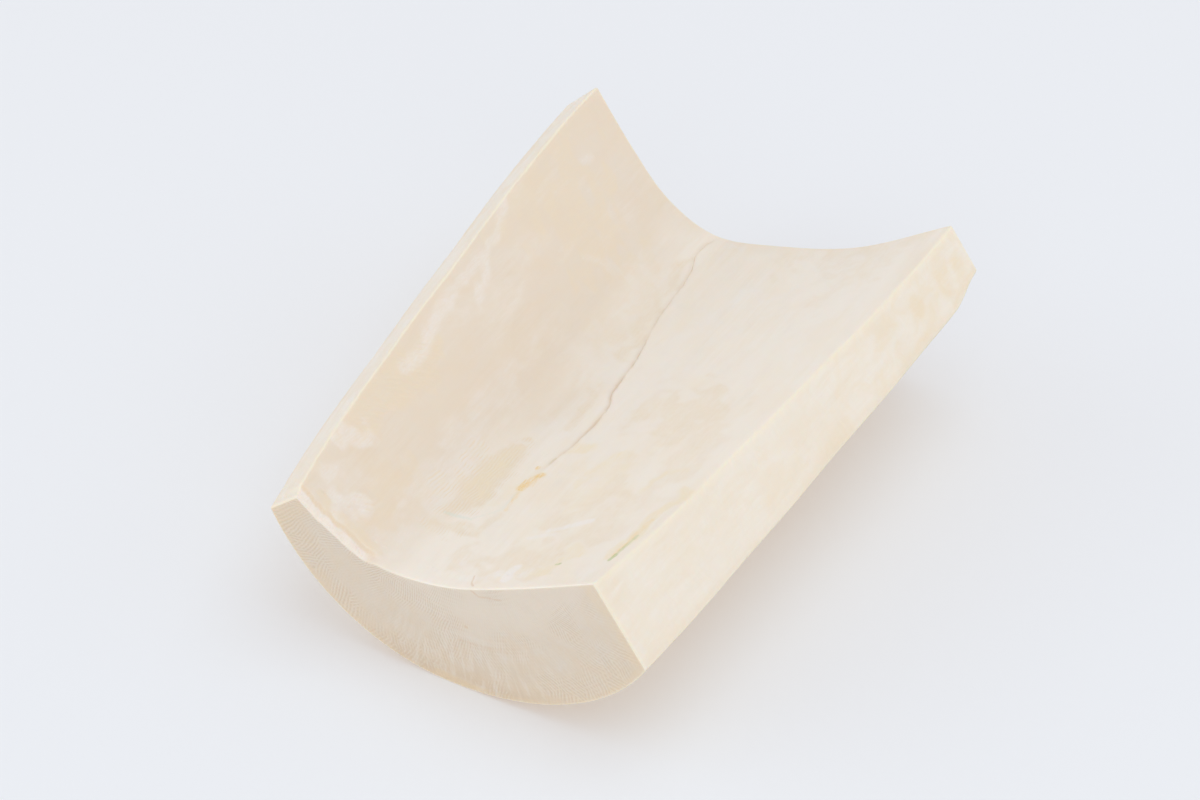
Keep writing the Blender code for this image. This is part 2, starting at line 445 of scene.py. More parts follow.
    def ring(self, y):
        """The closed outline at a station, as (x, z), with rounded long edges."""
        lines = self.stretches(y)
        lengths = [running_length(line) for line in lines]
        cuts = [self.edge_cut(corner, y) for corner in range(4)]
        starts = [point_at(lines[i], lengths[i], cuts[i]) for i in range(4)]
        ends = [point_at(lines[i], lengths[i], lengths[i][-1] - cuts[(i + 1) % 4]) for i in range(4)]
        arcs = [corner_arc(ends[i - 1], lines[i][0], starts[i]) for i in range(4)]
        points = []
        for i, steps in enumerate((LONG_STEPS, SIDE_STEPS, LONG_STEPS, SIDE_STEPS)):
            inner = steps - 2 * ARC_HALF
            if i == HOLLOW:
                x = self.trough_places(lines[i], starts[i][0], ends[i][0], inner, y)
                z = np.interp(x, lines[i][::-1, 0], lines[i][::-1, 1])
                middle = np.column_stack([x, z + self.crack_offset(x - self.crack_x(y), y)])
            else:
                along = np.linspace(cuts[i], lengths[i][-1] - cuts[(i + 1) % 4], inner + 1)[1:-1]
                middle = point_at(lines[i], lengths[i], along)
            points += [arcs[i][ARC_HALF:], middle, arcs[(i + 1) % 4][:ARC_HALF]]
        return np.vstack(points)


def running_length(line):
    """How far along the line each of its points is."""
    return np.concatenate([[0.0], np.cumsum(np.hypot(*np.diff(line, axis=0).T))])


def point_at(line, lengths, along):
    """The point, or points, this far along a line."""
    return np.stack([np.interp(along, lengths, line[:, 0]), np.interp(along, lengths, line[:, 1])], -1)


def spread(line, start, end, steps):
    """The x values that divide a right-to-left line evenly between two of its x values, both included."""
    lengths = running_length(line)
    along = np.interp([start, end], line[::-1, 0], lengths[::-1])
    return np.interp(np.linspace(*along, steps + 1), lengths, line[:, 0])


def corner_arc(before, corner, after):
    """A round arc that meets both sides of a corner, at the points given on them."""
    one, other = before - corner, after - corner
    cut = (np.hypot(*one) + np.hypot(*other)) / 2
    one, other = one / np.hypot(*one), other / np.hypot(*other)
    half_angle = math.acos(np.clip(one @ other, -1.0, 1.0)) / 2
    inward = (one + other) / np.hypot(*(one + other))
    centre = corner + inward * cut / math.cos(half_angle)
    first, last = before - centre, after - centre
    turn = math.atan2(first[0] * last[1] - first[1] * last[0], first @ last)
    turns = np.linspace(0.0, turn, 2 * ARC_HALF + 1) + math.atan2(first[1], first[0])
    return centre + np.hypot(*first) * np.column_stack([np.cos(turns), np.sin(turns)])


def drawn_in(ring, inset):
    """The outline moved inwards by an even amount."""
    tangent = np.roll(ring, -1, 0) - np.roll(ring, 1, 0)
    tangent /= np.hypot(*tangent.T)[:, None]
    return ring - inset * np.column_stack([tangent[:, 1], -tangent[:, 0]])


def station_rows(rim):
    """The Y of each station and how far its outline is drawn in, with both rims rounded."""
    half = LENGTH / 2
    turns = np.linspace(math.pi / 2, 0.0, RIM_STEPS + 1)
    front = [(-half + rim * (1 - math.sin(a)), rim * (1 - math.cos(a))) for a in turns]
    fine = np.arange(-half + rim + LEDGE_ROW, -half + LEDGE_REACH, LEDGE_ROW)
    even = np.linspace(-half + LEDGE_REACH, half - rim, EVEN_ROWS)[:-1]
    back = [(-y, inset) for y, inset in front[::-1]]
    return front + [(y, 0.0) for y in np.concatenate([fine, even])] + back


def cap_grid(ring):
    """A grid of points across a sawn end, and the ring's own places along the four sides of its border."""
    count = 2 * (LONG_STEPS + SIDE_STEPS)
    across, up = np.arange(LONG_STEPS + 1), np.arange(SIDE_STEPS + 1)
    bottom = across
    right = LONG_STEPS + up
    top = 2 * LONG_STEPS + SIDE_STEPS - across
    left = (count - up) % count
    u, v = np.meshgrid(across / LONG_STEPS, up / SIDE_STEPS, indexing="ij")
    u, v = u[..., None], v[..., None]
    corners = ring[[bottom[0], bottom[-1], top[0], top[-1]]]
    grid = (1 - v) * ring[bottom][:, None] + v * ring[top][:, None]
    grid = grid + (1 - u) * ring[left][None] + u * ring[right][None]
    grid = grid - (1 - u) * (1 - v) * corners[0] - u * (1 - v) * corners[1]
    grid = grid - (1 - u) * v * corners[2] - u * v * corners[3]
    return grid, (bottom, right, top, left)


def distance_to_line(points, line):
    """How far each point is from a line of straight parts. A line of one point is that point."""
    if len(line) == 1:
        line = np.vstack([line, line])
    distance = np.full(len(points), np.inf)
    for start, end in zip(line, line[1:]):
        way = end - start
        share = np.clip((points - start) @ way / max(way @ way, 1e-12), 0.0, 1.0)
        gap = points - start - share[:, None] * way
        distance = np.minimum(distance, np.sqrt((gap**2).sum(1)))
    return distance


def nearest_distance(points, line):
    """How far each point is from the nearest point of a line."""
    return np.sqrt(((points[:, None] - line[None]) ** 2).sum(-1).min(1))


class IvoryMesh:
    """Collects the points, faces and fields of the piece's surface."""

    def __init__(self, shape):
        self.shape = shape
        rows = station_rows(shape.sizes.rim_round)
        self.y = np.array([y for y, _ in rows])
        self.rings = np.array([drawn_in(shape.ring(y), inset) for y, inset in rows])
        self.sideways = -float(self.rings[..., 0].min() + self.rings[..., 0].max()) / 2
        self.rings[..., 0] += self.sideways
        count = self.rings.shape[1]
        flat_y = np.repeat(self.y, count)
        flat = self.rings.reshape(-1, 2)
        self.points = np.column_stack([flat[:, 0], flat_y, flat[:, 1]])
        steps = (LONG_STEPS, SIDE_STEPS, LONG_STEPS, SIDE_STEPS)
        self.column_region = np.repeat([BARK, RIGHT_SIDE, HOLLOW, LEFT_SIDE], steps)
        self.point_region = np.tile(self.column_region, len(self.y))
        self.faces = self.wall_faces(count)
        self.face_region = np.tile(self.column_region, len(self.y) - 1)
        self.edge_distance, self.bark_depth = self.wall_distances(steps)
        for row, flip in ((0, False), (len(self.y) - 1, True)):
            self.add_cap(row, flip, count)

    def wall_faces(self, count):
        """The four corners of each face between one station's outline and the next."""
        rows = np.arange(len(self.y) - 1)[:, None] * count
        near = rows + np.arange(count)[None]
        beside = rows + (np.arange(count)[None] + 1) % count
        return np.stack([near, near + count, beside + count, beside], -1).reshape(-1, 4)

    def wall_distances(self, steps):
        """How far each wall point lies from the nearest sawn edge, and below the tusk's outside."""
        step = np.hypot(*np.moveaxis(np.roll(self.rings, -1, 1) - self.rings, -1, 0))
        edge = np.empty(step.shape)
        depth = np.full(step.shape, NO_BARK)
        first = 0
        for region, number in enumerate(steps):
            part = step[:, first:first + number]
            from_start = np.cumsum(part, 1) - part
            to_end = part.sum(1, keepdims=True) - from_start
            edge[:, first:first + number] = np.minimum(from_start, to_end)
            if region == BARK:
                depth[:, first:first + number] = 0.0
            elif region != HOLLOW:
                depth[:, first:first + number] = from_start if region == RIGHT_SIDE else to_end
            first += number
        to_ends = LENGTH / 2 - np.abs(self.y)[:, None]
        return np.minimum(edge, to_ends).ravel(), depth.ravel()

    def add_cap(self, row, flip, count):
        """Closes one sawn end with a grid of faces."""
        ring = self.rings[row]
        grid, (bottom, right, top, left) = cap_grid(ring)
        index = np.full(grid.shape[:2], -1)
        index[:, 0], index[:, -1] = row * count + bottom, row * count + top
        index[0, :], index[-1, :] = row * count + left, row * count + right
        inside = grid[1:-1, 1:-1].reshape(-1, 2)
        index[1:-1, 1:-1] = (len(self.points) + np.arange(len(inside))).reshape(grid[1:-1, 1:-1].shape[:2])
        corners = [index[:-1, :-1], index[1:, :-1], index[1:, 1:], index[:-1, 1:]]
        faces = np.stack(corners[::-1] if flip else corners, -1).reshape(-1, 4)
        self.points = np.vstack([self.points, np.insert(inside, 1, self.y[row], axis=1)])
        self.faces = np.vstack([self.faces, faces])
        self.face_region = np.concatenate([self.face_region, np.full(len(faces), ENDS)])
        self.point_region = np.concatenate([self.point_region, np.full(len(inside), ENDS)])
        self.edge_distance = np.concatenate([self.edge_distance, nearest_distance(inside, ring)])
        self.bark_depth = np.concatenate([self.bark_depth, nearest_distance(inside, ring[bottom])])

    def crack_fields(self):
        """The crack's dirt and the painted shade beside its left side, and the signed distance from the
        crack's line, at each point of the hollow.
        """
        shape = self.shape
        dirt = np.zeros(len(self.points))
        away = np.full(len(self.points), NO_CRACK)
        hollow = np.flatnonzero(self.point_region == HOLLOW)
        x, y = self.points[hollow, 0] - self.sideways, self.points[hollow, 1]

        def at_points(measure):
            """What a measure of the station gives at each point of the hollow."""
            values = {station: measure(station) for station in self.y}
            return np.array([values[station] for station in y])

        away[hollow] = x - at_points(shape.crack_x)
        share = at_points(shape.crack_opening) * at_points(shape.crack_clearness)
        wear = DIRT_AND_SHADE_LEVEL + CRACK_WEAR * at_points(shape.crack_wear)
        # Reaching further to the left paints the shade beside the crack's lower side
        reach = np.where(away[hollow] < 0, *DIRT_AND_SHADE_REACH) * shape.sizes.crack_width
        dirt[hollow] = share * wear * np.exp(-((away[hollow] / reach) ** 2))
        return dirt, away

    def stroke_field(self, strokes):
        """How strongly a set of strokes covers each point of the hollow, from 0 to 1."""
        field = np.zeros(len(self.points))
        hollow = np.flatnonzero(self.point_region == HOLLOW)
        points = self.points[hollow]
        seed = self.shape.sizes.seed + 30
        across, along = (Drift(seed + i, STRAY_SIZE)(points[:, :2]) for i in range(2))
        astray = np.column_stack([STRAY_ACROSS * across, STRAY_ALONG * along, 0 * points[:, 0]])
        covered = np.zeros(len(hollow))
        for strength, half_width, feather, places in strokes:
            line = np.array([self.on_hollow(*place) for place in places])
            distance = distance_to_line(points + feather * astray, line)
            cover = strength * (1.0 - smooth_step((distance - half_width) / feather))
            covered = np.maximum(covered, cover)
        field[hollow] = covered
        return field

    def ledge_fields(self):
        """Where the hollow's surface is chipped away, and where the wall of the chip stands."""
        chipped = np.zeros(len(self.points))
        wall = np.zeros(len(self.points))
        hollow = np.flatnonzero(self.point_region == HOLLOW)
        hollow = hollow[self.points[hollow, 1] < -LENGTH / 2 + LEDGE_REACH]
        x, y = self.points[hollow, 0] - self.sideways, self.points[hollow, 1]
        inside = self.shape.ledge_inside(x, y)
        chipped[hollow] = inside
        # The band where the chip's wall stands, which gets a painted shade
        wall[hollow] = 4.0 * inside * (1.0 - inside) * smooth_step((LEDGE_RIGHT - x) / LEDGE_FADE)
        return chipped, wall

    def on_hollow(self, x, y):
        """The place on the hollow's surface over (x, y)."""
        return np.array([x, y, self.shape.hollow_height(x - self.sideways, y)])

    def share_of(self, *regions):
        """1 well inside these regions and 0 at their edges, so that relief leaves the edges alone."""
        inside = np.isin(self.point_region, regions)
        return inside * smooth_step(self.edge_distance / RELIEF_BORDER)

    def fields(self):
        """All the numbers that the finishes and the relief read at each point, by name."""
        dirt, away = self.crack_fields()
        chipped, wall = self.ledge_fields()
        fields = {name: self.stroke_field(strokes) for name, strokes in STROKES.items()}
        fields.update({
            "edge_distance": self.edge_distance,
            "bark_depth": self.bark_depth,
            "crack_dirt_and_shade": dirt,
            "crack_side": away,
            "chipped": chipped,
            "chip_wall_shade": wall,
            "bark_share": self.share_of(BARK),
            "hollow_share": self.share_of(HOLLOW),
            "sawn_share": self.share_of(RIGHT_SIDE, LEFT_SIDE, ENDS),
        })
        return fields

    def to_mesh(self, name):
        """The surface as a mesh, with its regions and its fields."""
        mesh = bpy.data.meshes.new(name)
        mesh.from_pydata(self.points.tolist(), [], self.faces.tolist())
        mesh.attributes.new("region", "INT", "FACE").data.foreach_set("value", self.face_region)
        for field, values in self.fields().items():
            data = mesh.attributes.new(field, "FLOAT", "POINT").data
            data.foreach_set("value", values.astype(np.float32))
        return mesh


# Stains and blooms in the hollow: strength, half width, soft border, and the line they follow as (x, y)
TAN_STAINS = [
    (0.70, 0.0040, 0.0090, [(-0.0340, 0.0400), (-0.0290, 0.0350), (-0.0240, 0.0360)]),
    (0.50, 0.0020, 0.0070, [(-0.0300, 0.0270), (-0.0265, 0.0350)]),
    (0.40, 0.0015, 0.0060, [(-0.0151, 0.0351), (-0.0159, 0.0303), (-0.0157, 0.0197)]),
    (0.85, 0.0024, 0.0044, [(-0.0345, -0.0375), (-0.0332, -0.0270), (-0.0322, -0.0180)]),
    (0.60, 0.0014, 0.0050, [(-0.0228, -0.0520), (-0.0228, -0.0463), (-0.0240, -0.0390)]),
    (0.92, 0.0012, 0.0024, [(-0.0121, -0.0372), (-0.0121, -0.0280), (-0.0124, -0.0198)]),
    (0.80, 0.0008, 0.0022, [(-0.0138, -0.0388), (-0.0141, -0.0300), (-0.0136, -0.0210)]),
    (0.65, 0.0004, 0.0016, [(-0.0143, -0.0445), (-0.0106, -0.0438), (-0.0064, -0.0452)]),
    (0.50, 0.0003, 0.0010, [(-0.0060, -0.0440), (-0.0046, -0.0380)]),
    (0.52, 0.0030, 0.0062, [(0.0085, 0.0010), (0.0140, 0.0010), (0.0195, -0.0020)]),
    (0.46, 0.0016, 0.0056, [(0.0100, -0.0060), (0.0160, -0.0070), (0.0215, -0.0085)]),
    (0.44, 0.0016, 0.0060, [(0.0235, -0.0080), (0.0245, -0.0220), (0.0205, -0.0330), (0.0150, -0.0445)]),
    (0.52, 0.0012, 0.0050, [(0.0166, -0.0293), (0.0117, -0.0335), (0.0086, -0.0389)]),
    (0.52, 0.0010, 0.0042, [(0.0198, -0.0424), (0.0134, -0.0474), (0.0067, -0.0517), (-0.0030, -0.0530)]),
    (0.38, 0.0010, 0.0044, [(0.0115, -0.0218), (0.0129, -0.0290)]),
    (0.40, 0.0016, 0.0060, [(0.0092, 0.0571), (0.0208, 0.0560), (0.0316, 0.0560)]),
    (0.38, 0.0015, 0.0060, [(0.0227, 0.0424), (0.0265, 0.0490)]),
    (0.60, 0.0004, 0.0024, [(-0.0125, 0.0490), (-0.0110, 0.0380), (-0.0098, 0.0270), (-0.0080, 0.0150)]),
    (0.70, 0.0003, 0.0014, [(-0.0068, -0.0092), (-0.0066, -0.0021), (-0.0079, 0.0044)]),
    (0.50, 0.0003, 0.0018, [(-0.0103, -0.0075), (-0.0116, 0.0014), (-0.0133, 0.0085)]),
    # Along the chip's wall: painted shade in the tan of the stains
    (1.00, 0.0006, 0.0010, [(-0.0310, -0.0568), (-0.0240, -0.0571), (-0.0190, -0.0573)]),
    (0.60, 0.0014, 0.0030, [(0.0030, -0.0545), (0.0085, -0.0535), (0.0125, -0.0550)]),
]
YELLOW_STAINS = [
    (0.70, 0.0005, 0.0014, [(-0.0017, -0.0170), (0.0005, -0.0145)]),
    (0.60, 0.0003, 0.0014, [(0.0048, -0.0270), (0.0063, -0.0211), (0.0086, -0.0160)]),
    (0.90, 0.0006, 0.0018, [(0.0258, -0.0500), (0.0265, -0.0421), (0.0274, -0.0363), (0.0296, -0.0285)]),
    (0.75, 0.0010, 0.0026, [(0.0140, -0.0538), (0.0178, -0.0498)]),
    (0.55, 0.0004, 0.0018, [(0.0244, -0.0226), (0.0197, -0.0270)]),
    (0.66, 0.0006, 0.0024, [(-0.0126, -0.0345), (-0.0122, -0.0215)]),
    (0.30, 0.0010, 0.0040, [(-0.0375, 0.0300), (-0.0365, 0.0130)]),
    (0.40, 0.0006, 0.0020, [(-0.0058, -0.0300), (-0.0080, -0.0360)]),
    (0.35, 0.0030, 0.0060, [(0.0040, -0.0200), (0.0090, -0.0280)]),
]
PALE_BLOOMS = [
    (0.70, 0.0004, 0.0020, [(-0.0386, 0.0212), (-0.0347, 0.0104), (-0.0320, 0.0020)]),
    (0.70, 0.0004, 0.0020, [(-0.0350, 0.0110), (-0.0363, 0.0056), (-0.0350, -0.0108), (-0.0333, -0.0226)]),
    (0.70, 0.0008, 0.0028, [(-0.0340, -0.0428), (-0.0318, -0.0405)]),
    (0.55, 0.0008, 0.0026, [(-0.0328, -0.0512), (-0.0312, -0.0522)]),
    (0.75, 0.0010, 0.0026, [(-0.0284, -0.0543), (-0.0262, -0.0535)]),
    (0.40, 0.0010, 0.0035, [(-0.0205, -0.0556), (-0.0176, -0.0514)]),
    (0.40, 0.0012, 0.0050, [(-0.0218, -0.0212), (-0.0216, -0.0124), (-0.0208, -0.0060)]),
    (0.45, 0.0014, 0.0044, [(-0.0190, -0.0420), (-0.0200, -0.0330), (-0.0200, -0.0250)]),
    (0.60, 0.0002, 0.0010, [(-0.0186, -0.0335), (-0.0191, -0.0296), (-0.0192, -0.0262)]),
    (0.55, 0.0002, 0.0010, [(-0.0172, -0.0352), (-0.0174, -0.0310), (-0.0174, -0.0275)]),
    (0.35, 0.0012, 0.0060, [(-0.0100, -0.0120), (-0.0095, -0.0010), (-0.0108, 0.0110)]),
    (0.45, 0.0020, 0.0070, [(0.0022, 0.0275), (0.0036, 0.0166), (0.0027, 0.0022), (0.0036, -0.0151)]),
    (0.25, 0.0030, 0.0090, [(-0.0180, -0.0545), (0.0000, -0.0555), (0.0200, -0.0545)]),
    (0.55, 0.0003, 0.0018, [(0.0029, 0.0389), (0.0062, 0.0431)]),
    (0.45, 0.0002, 0.0014, [(0.0092, 0.0395), (0.0159, 0.0433)]),
    (0.40, 0.0002, 0.0014, [(0.0059, 0.0205), (0.0105, 0.0281)]),
    (0.40, 0.0002, 0.0014, [(-0.0255, 0.0315), (-0.0215, 0.0345), (-0.0175, 0.0362)]),
    (0.40, 0.0002, 0.0014, [(-0.0157, 0.0190), (-0.0150, 0.0340)]),
    (0.60, 0.0003, 0.0014, [(-0.0071, 0.0580), (-0.0037, 0.0580)]),
    (0.45, 0.0003, 0.0018, [(-0.0340, 0.0485), (-0.0342, 0.0461)]),
]
TOOL_MARKED = [
    (1.00, 0.0026, 0.0022, [(-0.0345, -0.0375), (-0.0332, -0.0270), (-0.0322, -0.0180)]),
    (0.80, 0.0010, 0.0020, [(-0.0262, -0.0530), (-0.0250, -0.0505)]),
]
FIBRED = [
    (1.00, 0.0021, 0.0020, [(-0.0166, -0.0395), (-0.0171, -0.0310), (-0.0162, -0.0230)]),
    (0.80, 0.0018, 0.0018, [(-0.0112, -0.0385), (-0.0112, -0.0190)]),
    (0.70, 0.0012, 0.0018, [(-0.0150, -0.0452), (-0.0100, -0.0446)]),
]

# The fields of the mesh that hold them
STROKES = {
    "tan": TAN_STAINS,
    "yellow": YELLOW_STAINS,
    "pale": PALE_BLOOMS,
    "tool_marked": TOOL_MARKED,
    "fibred": FIBRED,
}

# Thin marks, drawn by the shader: strength, half width, soft border, and the line along the face's two axes
ORANGE_MARKS = [
    (1.00, 0.00030, 0.0011, [(-0.0052, -0.0294), (-0.0050, -0.0272)]),
    (0.78, 0.00022, 0.0011, [(-0.0050, -0.0272), (-0.0045, -0.0258), (-0.0034, -0.0245)]),
    (0.70, 0.00022, 0.0008, [(-0.0053, -0.0227)]),
    (0.50, 0.00010, 0.0009, [(-0.0038, -0.0258), (-0.0037, -0.0280)]),
    (0.36, 0.00008, 0.0009, [(-0.0050, -0.0300), (-0.0046, -0.0335), (-0.0044, -0.0362)]),
    (0.40, 0.00010, 0.0010, [(0.0257, -0.0505), (0.0263, -0.0450), (0.0271, -0.0390)]),
]
GREEN_MARKS = [
    (0.95, 0.00012, 0.0005, [(0.0258, -0.0518), (0.0261, -0.0500)]),
    (0.55, 0.00006, 0.0006, [(0.0261, -0.0500), (0.0270, -0.0440)]),
    (0.80, 0.00010, 0.0004, [(0.0157, -0.0527), (0.0163, -0.0525)]),
    (0.35, 0.00004, 0.0004, [(-0.0041, -0.0208), (-0.0036, -0.0190)]),
]
TEAL_MARKS = [
    (0.60, 0.00008, 0.0007, [(-0.0142, -0.0413), (-0.0092, -0.0409)]),
    (0.35, 0.00005, 0.0006, [(-0.0092, -0.0409), (-0.0054, -0.0365), (-0.0051, -0.0309)]),
]
WHITE_MARKS = [
    (1.00, 0.0004, 0.0012, [(0.0080, -0.0572), (0.0074, -0.0553), (0.0079, -0.0534)]),
    (0.60, 0.0004, 0.0014, [(0.0108, -0.0560), (0.0114, -0.0548)]),
    (0.65, 0.0005, 0.0014, [(0.0042, -0.0566), (0.0053, -0.0552)]),
    (0.50, 0.0004, 0.0014, [(-0.0010, -0.0572), (0.0020, -0.0570)]),
    (0.80, 0.0002, 0.0012, [(0.0080, -0.0417), (0.0108, -0.0406), (0.0147, -0.0387)]),
    (0.55, 0.0002, 0.0009, [(0.0050, -0.0440), (0.0095, -0.0428)]),
]
HAIRLINE = [
    (0.80, 0.00002, 0.0003, [(0.0009, -0.0562), (0.0014, -0.0580), (0.0024, -0.0592)]),
]
SIDE_SPOTS = [
    (0.90, 0.0006, 0.0030, [(0.0411, 0.0338)]),
    (0.55, 0.0006, 0.0034, [(0.0515, 0.0377), (0.0506, 0.0332)]),
    (0.65, 0.0006, 0.0028, [(0.0562, 0.0344)]),
    (0.40, 0.0005, 0.0034, [(0.0322, 0.0350), (0.0280, 0.0340)]),
    (0.50, 0.0004, 0.0028, [(0.0100, 0.0272), (0.0020, 0.0262)]),
    (0.40, 0.0004, 0.0028, [(-0.0050, 0.0285), (-0.0160, 0.0268)]),
]
END_OCHRE = [
    (0.80, 0.0003, 0.0012, [(-0.0051, 0.0016), (-0.0010, 0.0011), (0.0032, 0.0010)]),
    (0.60, 0.0006, 0.0026, [(0.0262, 0.0370), (0.0305, 0.0320), (0.0355, 0.0240)]),
    (0.60, 0.0020, 0.0040, [(-0.0400, 0.0262), (-0.0355, 0.0300)]),
]
END_PALE = [
    (0.55, 0.0001, 0.0014, [(-0.0018, 0.0132), (0.0040, 0.0134), (0.0086, 0.0144)]),
    (0.40, 0.0001, 0.0008, [(-0.0060, 0.0029), (-0.0010, 0.0022), (0.0042, 0.0018)]),
]
END_DARK = [
    (1.00, 0.00012, 0.0003, [(0.0010, 0.0157), (0.0013, 0.0156)]),
    (0.40, 0.00006, 0.0007, [(-0.0005, 0.0119), (0.0045, 0.0121), (0.0092, 0.0131)]),
    (0.75, 0.00002, 0.0004, [(0.0024, 0.0252), (0.0040, 0.0243), (0.0085, 0.0255)]),
]


def arithmetic(operation, swapped=False):
    """The method for a sign between a wire and a number or another wire, which adds a Math node."""

    def method(wire, other):
        return wire.sheet.math(operation, *((other, wire) if swapped else (wire, other)))

    return method


class Wire:
    """One output of a node, to feed to an input or to reckon with."""

    def __init__(self, sheet, socket):
        self.sheet = sheet
        self.socket = socket

    __add__ = arithmetic("ADD")
    __radd__ = arithmetic("ADD", swapped=True)
    __sub__ = arithmetic("SUBTRACT")
    __rsub__ = arithmetic("SUBTRACT", swapped=True)
    __mul__ = arithmetic("MULTIPLY")
    __truediv__ = arithmetic("DIVIDE")
    __rtruediv__ = arithmetic("DIVIDE", swapped=True)


class NodeSheet:
    """Fills one node tree. A value for an input is a number, a colour, a vector or a wire."""

    COLUMNS = 7
    COLUMN_WIDTH = 240
    ROW_HEIGHT = 320

    def __init__(self, tree):
        self.tree = tree
        self.placed = 0

    def add(self, kind, inputs=None, **settings):
        """Adds a node on the sheet's next free place."""
        node = self.tree.nodes.new(kind)
        row, column = divmod(self.placed, self.COLUMNS)
        node.location = (column * self.COLUMN_WIDTH, -row * self.ROW_HEIGHT)
        self.placed += 1
        for name, value in settings.items():
            setattr(node, name, value)
        for key, value in (inputs or {}).items():
            self.feed(node.inputs[key], value)
        return node

    def feed(self, socket, value):
        if isinstance(value, Wire):
            self.tree.links.new(value.socket, socket)
        else:
            socket.default_value = value

    def out(self, output, kind, inputs=None, **settings):
        """Adds a node for one of its outputs, given by its name or number."""
        return Wire(self, self.add(kind, inputs, **settings).outputs[output])

    def wires(self, node):
        """All the outputs of a node, by name."""
        return {socket.name: Wire(self, socket) for socket in node.outputs}

    def math(self, operation, *values, clamp=False):
        return self.out(0, "ShaderNodeMath", dict(enumerate(values)), operation=operation, use_clamp=clamp)

    def vector(self, operation, *values):
        output = "Value" if operation in ("DOT_PRODUCT", "LENGTH") else "Vector"
        return self.out(output, "ShaderNodeVectorMath", dict(enumerate(values)), operation=operation)

    def scaled(self, vector, factor):
        return self.out("Vector", "ShaderNodeVectorMath", {0: vector, "Scale": factor}, operation="SCALE")

    def ramp(self, value, low, high, to_low=0.0, to_high=1.0):
        """A smooth step of a value from one pair of numbers to another."""
        inputs = {"Value": value, "From Min": low, "From Max": high, "To Min": to_low, "To Max": to_high}
        return self.out("Result", "ShaderNodeMapRange", inputs, interpolation_type="SMOOTHSTEP")

    def mix(self, share, first, second):
        """This share of the second colour over the first. Sockets 6, 7 and 2 are the node's colours."""
        return self.out(2, "ShaderNodeMix", {0: share, 6: first, 7: second}, data_type="RGBA")

    def object_place(self, stretch=(1.0, 1.0, 1.0), shift=(0.0, 0.0, 0.0)):
        """The place on the piece, stretched along the axes."""
        place = self.out("Object", "ShaderNodeTexCoord")
        inputs = {"Vector": place, "Scale": stretch, "Location": shift}
        return self.out("Vector", "ShaderNodeMapping", inputs)

    def axes(self):
        """The place on the piece as three numbers, called X, Y and Z."""
        return self.wires(self.add("ShaderNodeSeparateXYZ", {0: self.object_place()}))

    def noise(self, scale, detail=2.0, roughness=0.5, distortion=0.0, place=None, **placing):
        """Noise with this many waves a metre, over the piece's own place unless another is given."""
        inputs = {"Vector": place or self.object_place(**placing), "Scale": scale, "Detail": detail}
        inputs.update({"Roughness": roughness, "Distortion": distortion})
        return self.out(0, "ShaderNodeTexNoise", inputs)

    def field(self, name):
        """A number that the mesh holds for each point."""
        return self.out("Fac", "ShaderNodeAttribute", attribute_name=name)

    def group(self, name, **values):
        """Places a node group, with its inputs given by name, spaces written as underlines."""
        node = self.add("ShaderNodeGroup")
        node.node_tree = bpy.data.node_groups[name]
        for key, value in values.items():
            self.feed(node.inputs[key.replace("_", " ")], value)
        return self.wires(node)


def add_sockets(tree, inputs, outputs):
    """Names what goes in, as (name, kind, default), and what comes out, as (name, kind)."""
    for label, kind, default in inputs:
        socket = tree.interface.new_socket(name=label, in_out="INPUT", socket_type=SOCKETS[kind])
        if default is not None:
            socket.default_value = default
    for label, kind in outputs:
        tree.interface.new_socket(name=label, in_out="OUTPUT", socket_type=SOCKETS[kind])


def new_shader_group(name, inputs, outputs):
    """A shader node group: its sheet, its inputs as wires, and its outputs."""
    tree = bpy.data.node_groups.new(name, "ShaderNodeTree")
    add_sockets(tree, inputs, outputs)
    sheet = NodeSheet(tree)
    given = sheet.wires(sheet.add("NodeGroupInput"))
    result = sheet.add("NodeGroupOutput").inputs
    return sheet, given, result


def cloudy_ivory_group():
    """The slow drift of colour through ivory, with patches of fibrous grain along the tusk."""
    inputs = [
        ("Base", "colour", (0.8, 0.7, 0.6, 1.0)),
        ("Warm", "colour", (0.8, 0.65, 0.5, 1.0)),
        ("Pale", "colour", (0.85, 0.8, 0.72, 1.0)),
        ("Cloud size", "number", 0.02),
        ("Grain", "number", 0.03),
    ]
    sheet, given, result = new_shader_group("Cloudy ivory", inputs, [("Color", "colour")])
    scale = 1.0 / given["Cloud size"]
    cloud = sheet.noise(scale, 4.0, 0.6, 0.8, stretch=(1.0, 0.55, 1.0))
    fleck = sheet.noise(scale * 2.7, 5.0, 0.65, 0.4, stretch=(1.0, 0.4, 1.0), shift=(0.3, 0.1, 0.2))
    colour = sheet.mix(sheet.ramp(cloud, 0.40, 0.66), given["Base"], given["Warm"])
    colour = sheet.mix(sheet.ramp(fleck, 0.48, 0.80, 0.0, 0.65), colour, given["Pale"])
    coarse = sheet.noise(620.0, 3.0, 0.65, stretch=(1.0, 0.10, 1.0))
    fine = sheet.noise(1700.0, 2.0, 0.6, stretch=(1.0, 0.06, 1.0), shift=(0.1, 0.4, 0.0))
    patches = sheet.noise(95.0, 2.0, stretch=(1.0, 0.6, 1.0), shift=(0.7, 0.0, 0.3))
    fibres = (coarse + fine * 0.6 - 0.8) * 2.0
    strength = fibres * given["Grain"] * sheet.ramp(patches, 0.42, 0.60, 0.12)
    level = sheet.vector("ADD", sheet.scaled(GRAIN_TINT, strength), (1.0, 1.0, 1.0))
    sheet.feed(result["Color"], sheet.vector("MULTIPLY", colour, level))


